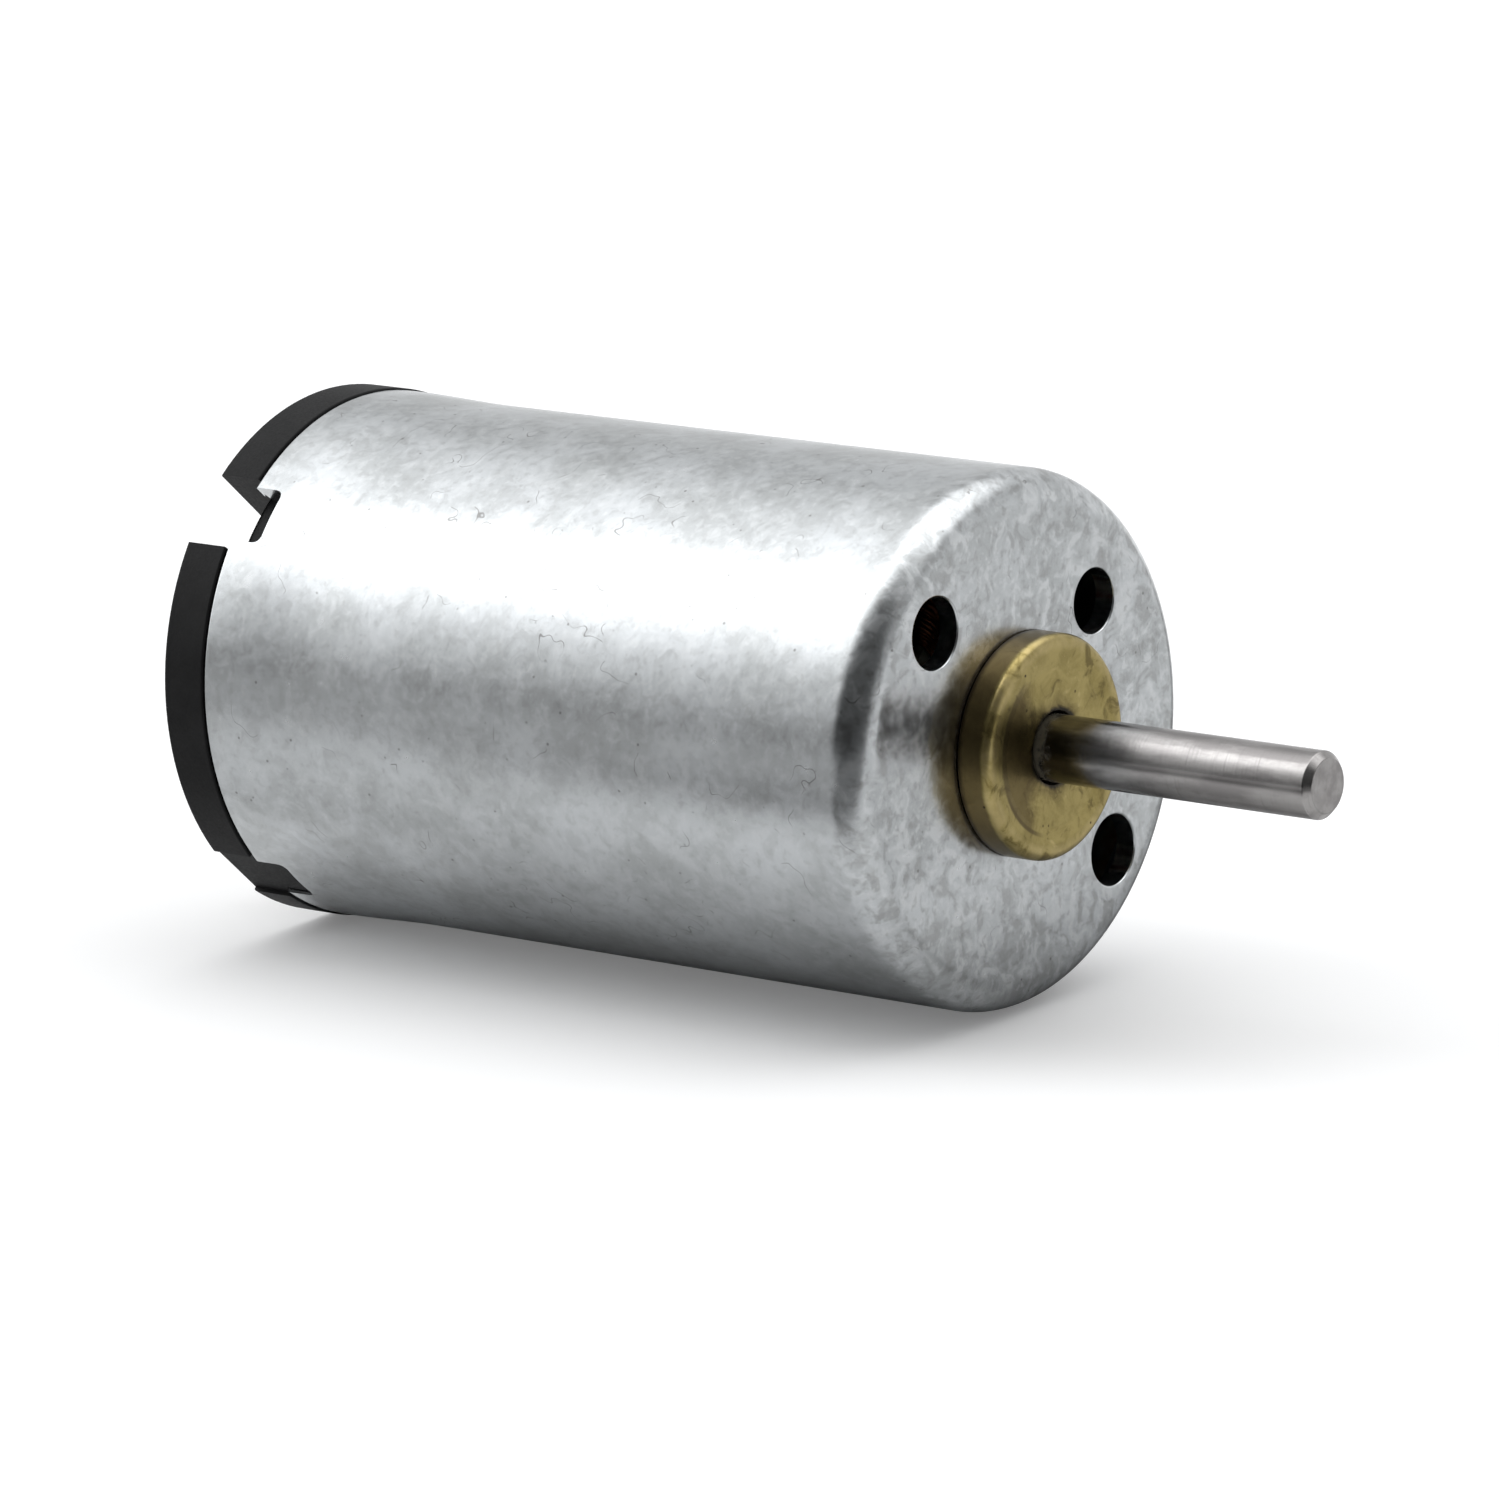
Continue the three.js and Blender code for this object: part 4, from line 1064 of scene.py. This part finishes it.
def build_commutator(nylon):
    """A spool with three copper bars, tabs for the wires, a ring that holds the bars, and the varistor."""
    resin = moulded_plastic("brown_resin", (0.055, 0.020, 0.010), (0.095, 0.038, 0.018), 0.4, 0.003, 0.4)
    copper = rolled_metal("commutator_copper", (0.60, 0.27, 0.15), (0.80, 0.42, 0.26), 0.16, 0.32,
                          stretch=(1, 0.1, 0.1), stain=(0.30, 0.12, 0.06))
    spool_low, spool_high = box_mm("commutator_core")
    bar_low, bar_high = box_mm("commutator_segment_a")
    barrel, flange = 1.27, spool_high.z
    flange_rear, flange_front = bar_high.x + 0.05, -14.45
    outline = [(spool_low.x, PRESSED_BORE, 0.04), (spool_low.x, barrel, 0.05), (flange_rear, barrel, 0.04),
               (flange_rear, flange, 0.06), (flange_front, flange, 0.06), (flange_front, barrel, 0.04),
               (spool_high.x, barrel, 0.05), (spool_high.x, PRESSED_BORE, 0.04)]
    spool = lathe("commutator_spool", rounded(outline, 0, 4), 96)
    settle(spool, "rotor", "brown_resin", resin, "commutator_core")
    tab_half, tab_end, tab_rear = 0.4, 2.3, bar_high.x - 0.3
    tab_outline = rounded([(1.45, -tab_half, 0), (tab_end, -tab_half, 0.12), (tab_end, tab_half, 0.12),
                           (1.45, tab_half, 0)], 0, 4)
    for index, letter in enumerate("abc"):
        centre = FIRST_POLE + POLE_TURN * (index - 0.5)
        outline = sector(1.29, 1.6, centre, 55, 30)
        bar = plate("copper_bar_" + letter, outline, [], bar_low.x, bar_high.x, 0.02)
        turn = math.radians(centre)
        placed = [(y * math.cos(turn) - z * math.sin(turn), y * math.sin(turn) + z * math.cos(turn))
                  for y, z in tab_outline]
        join(bar, [plate("tab", placed, [], tab_rear, bar_high.x, 0.03)])
        settle(bar, "rotor", "copper", copper, "commutator_segment_" + letter)

    low, high = box_mm("commutator_ring")
    ring = tube("retaining_ring", 1.62, high.z, low.x, high.x, 0.06, 72)
    settle(ring, "rotor", "nylon", nylon, "commutator_ring")
    low, high = box_mm("varistor")
    disc = tube("varistor_ring", 1.29, high.z, low.x, high.x, 0.08, 96)
    settle(disc, "rotor", "gray_ceramic", varistor_disc(), "varistor")


def build_shaft_rings(nylon):
    steel = rolled_metal("washer_steel_sheet", (0.40, 0.41, 0.42), (0.55, 0.56, 0.57), 0.2, 0.36)
    rings = (("spacer_sleeve", "spacer_tube", nylon, "nylon", 0.08),
             ("washer_steel", "thrust_washer", steel, "spring_steel", 0.03),
             ("washer_front", "front_slip_washer", nylon, "nylon", 0.05),
             ("washer_rear", "rear_slip_washer", nylon, "nylon", 0.04))
    for node, name, material, slot, edge in rings:
        low, high = box_mm(node)
        ring = tube(name, PRESSED_BORE, high.z, low.x, high.x, edge, 72)
        settle(ring, "rotor", slot, material, node)


def build_brush_gear():
    """On each side: a tab through the cap, a bent leaf, and a carbon block on the leaf."""
    tin = rolled_metal("tinned_brass", (0.52, 0.52, 0.49), (0.70, 0.70, 0.67), 0.22, 0.36)
    bronze = rolled_metal("phosphor_bronze_leaf", (0.48, 0.29, 0.12), (0.64, 0.41, 0.19), 0.2, 0.32,
                          stretch=(1, 1, 0.1))
    carbon = grainy_solid("pressed_carbon", (0.012, 0.012, 0.013), (0.035, 0.034, 0.034), 0.5, 14,
                          metallic=0.0, pits=0.4)
    tab_low, tab_high = box_mm("terminal_a")
    tail, half, painted_foot_shadow, foot_rear = tab_low.x, TERMINAL_WIDTH / 2, tab_high.y, -17.5
    flat = rounded([(tab_high.x, -half, 0.12), (tab_high.x, painted_foot_shadow, 0.12), (foot_rear, painted_foot_shadow, 0.12),
                    (foot_rear, half, 0.1), (tail, half, 0.3), (tail, -half, 0.3)], 0, 5)
    eye = circle(0.4, (tail + 0.8, 0), 40)

    leaf_low, leaf_high = box_mm("brush_arm_a")
    outer, top, bend, thickness = leaf_high.y, leaf_high.z, 0.3, 0.12
    path = [(outer - thickness, leaf_low.z), (outer, leaf_low.z)]
    path += arc((outer - bend, top - bend), bend, 0, 90, 8)
    path += [(leaf_low.y, top), (leaf_low.y, top - thickness)]
    path += arc((outer - bend, top - bend), bend - thickness, 90, 0, 8)

    block_low, block_high = box_mm("brush_a")
    block_half, wear_radius, block_back = 0.55, 1.63, 2.12
    reach = math.degrees(math.asin(block_half / wear_radius))
    block = [(block_back, -block_half), (block_back, block_half)]
    block += arc((0, 0), wear_radius, reach, -reach, 12)

    for side, turn in (("a", 0), ("b", 180)):
        about = turned_about_x(turn)
        tab = plate("solder_tab_" + side, list(reversed(flat)), [eye], tab_low.z, tab_high.z, 0.04, about)
        settle(tab, "housing", "tin_plate", tin, "terminal_" + side)
        leaf = plate("brush_leaf_" + side, path, [], leaf_low.x, leaf_high.x, 0.015, about @ TO_X)
        settle(leaf, "housing", "phosphor_bronze", bronze, "brush_arm_" + side)
        brush = plate("carbon_block_" + side, block, [], block_low.x, block_high.x, 0.03, about @ TO_X)
        settle(brush, "housing", "carbon", carbon, "brush_" + side)


# -------- the scene

build_can()
build_front_bearing()
build_shaft()
build_end_cap()
build_rear_bearing()
build_magnets()
build_magnet_clips()
nylon_look = moulded_plastic("natural_nylon", (0.66, 0.62, 0.50), (0.78, 0.75, 0.66), 0.42, 0.003, 0.4)
build_core(nylon_look)
build_coils()
build_commutator(nylon_look)
build_shaft_rings(nylon_look)
build_brush_gear()

scene.view_settings.view_transform = "Standard"
add_floor()
add_world()
add_camera()
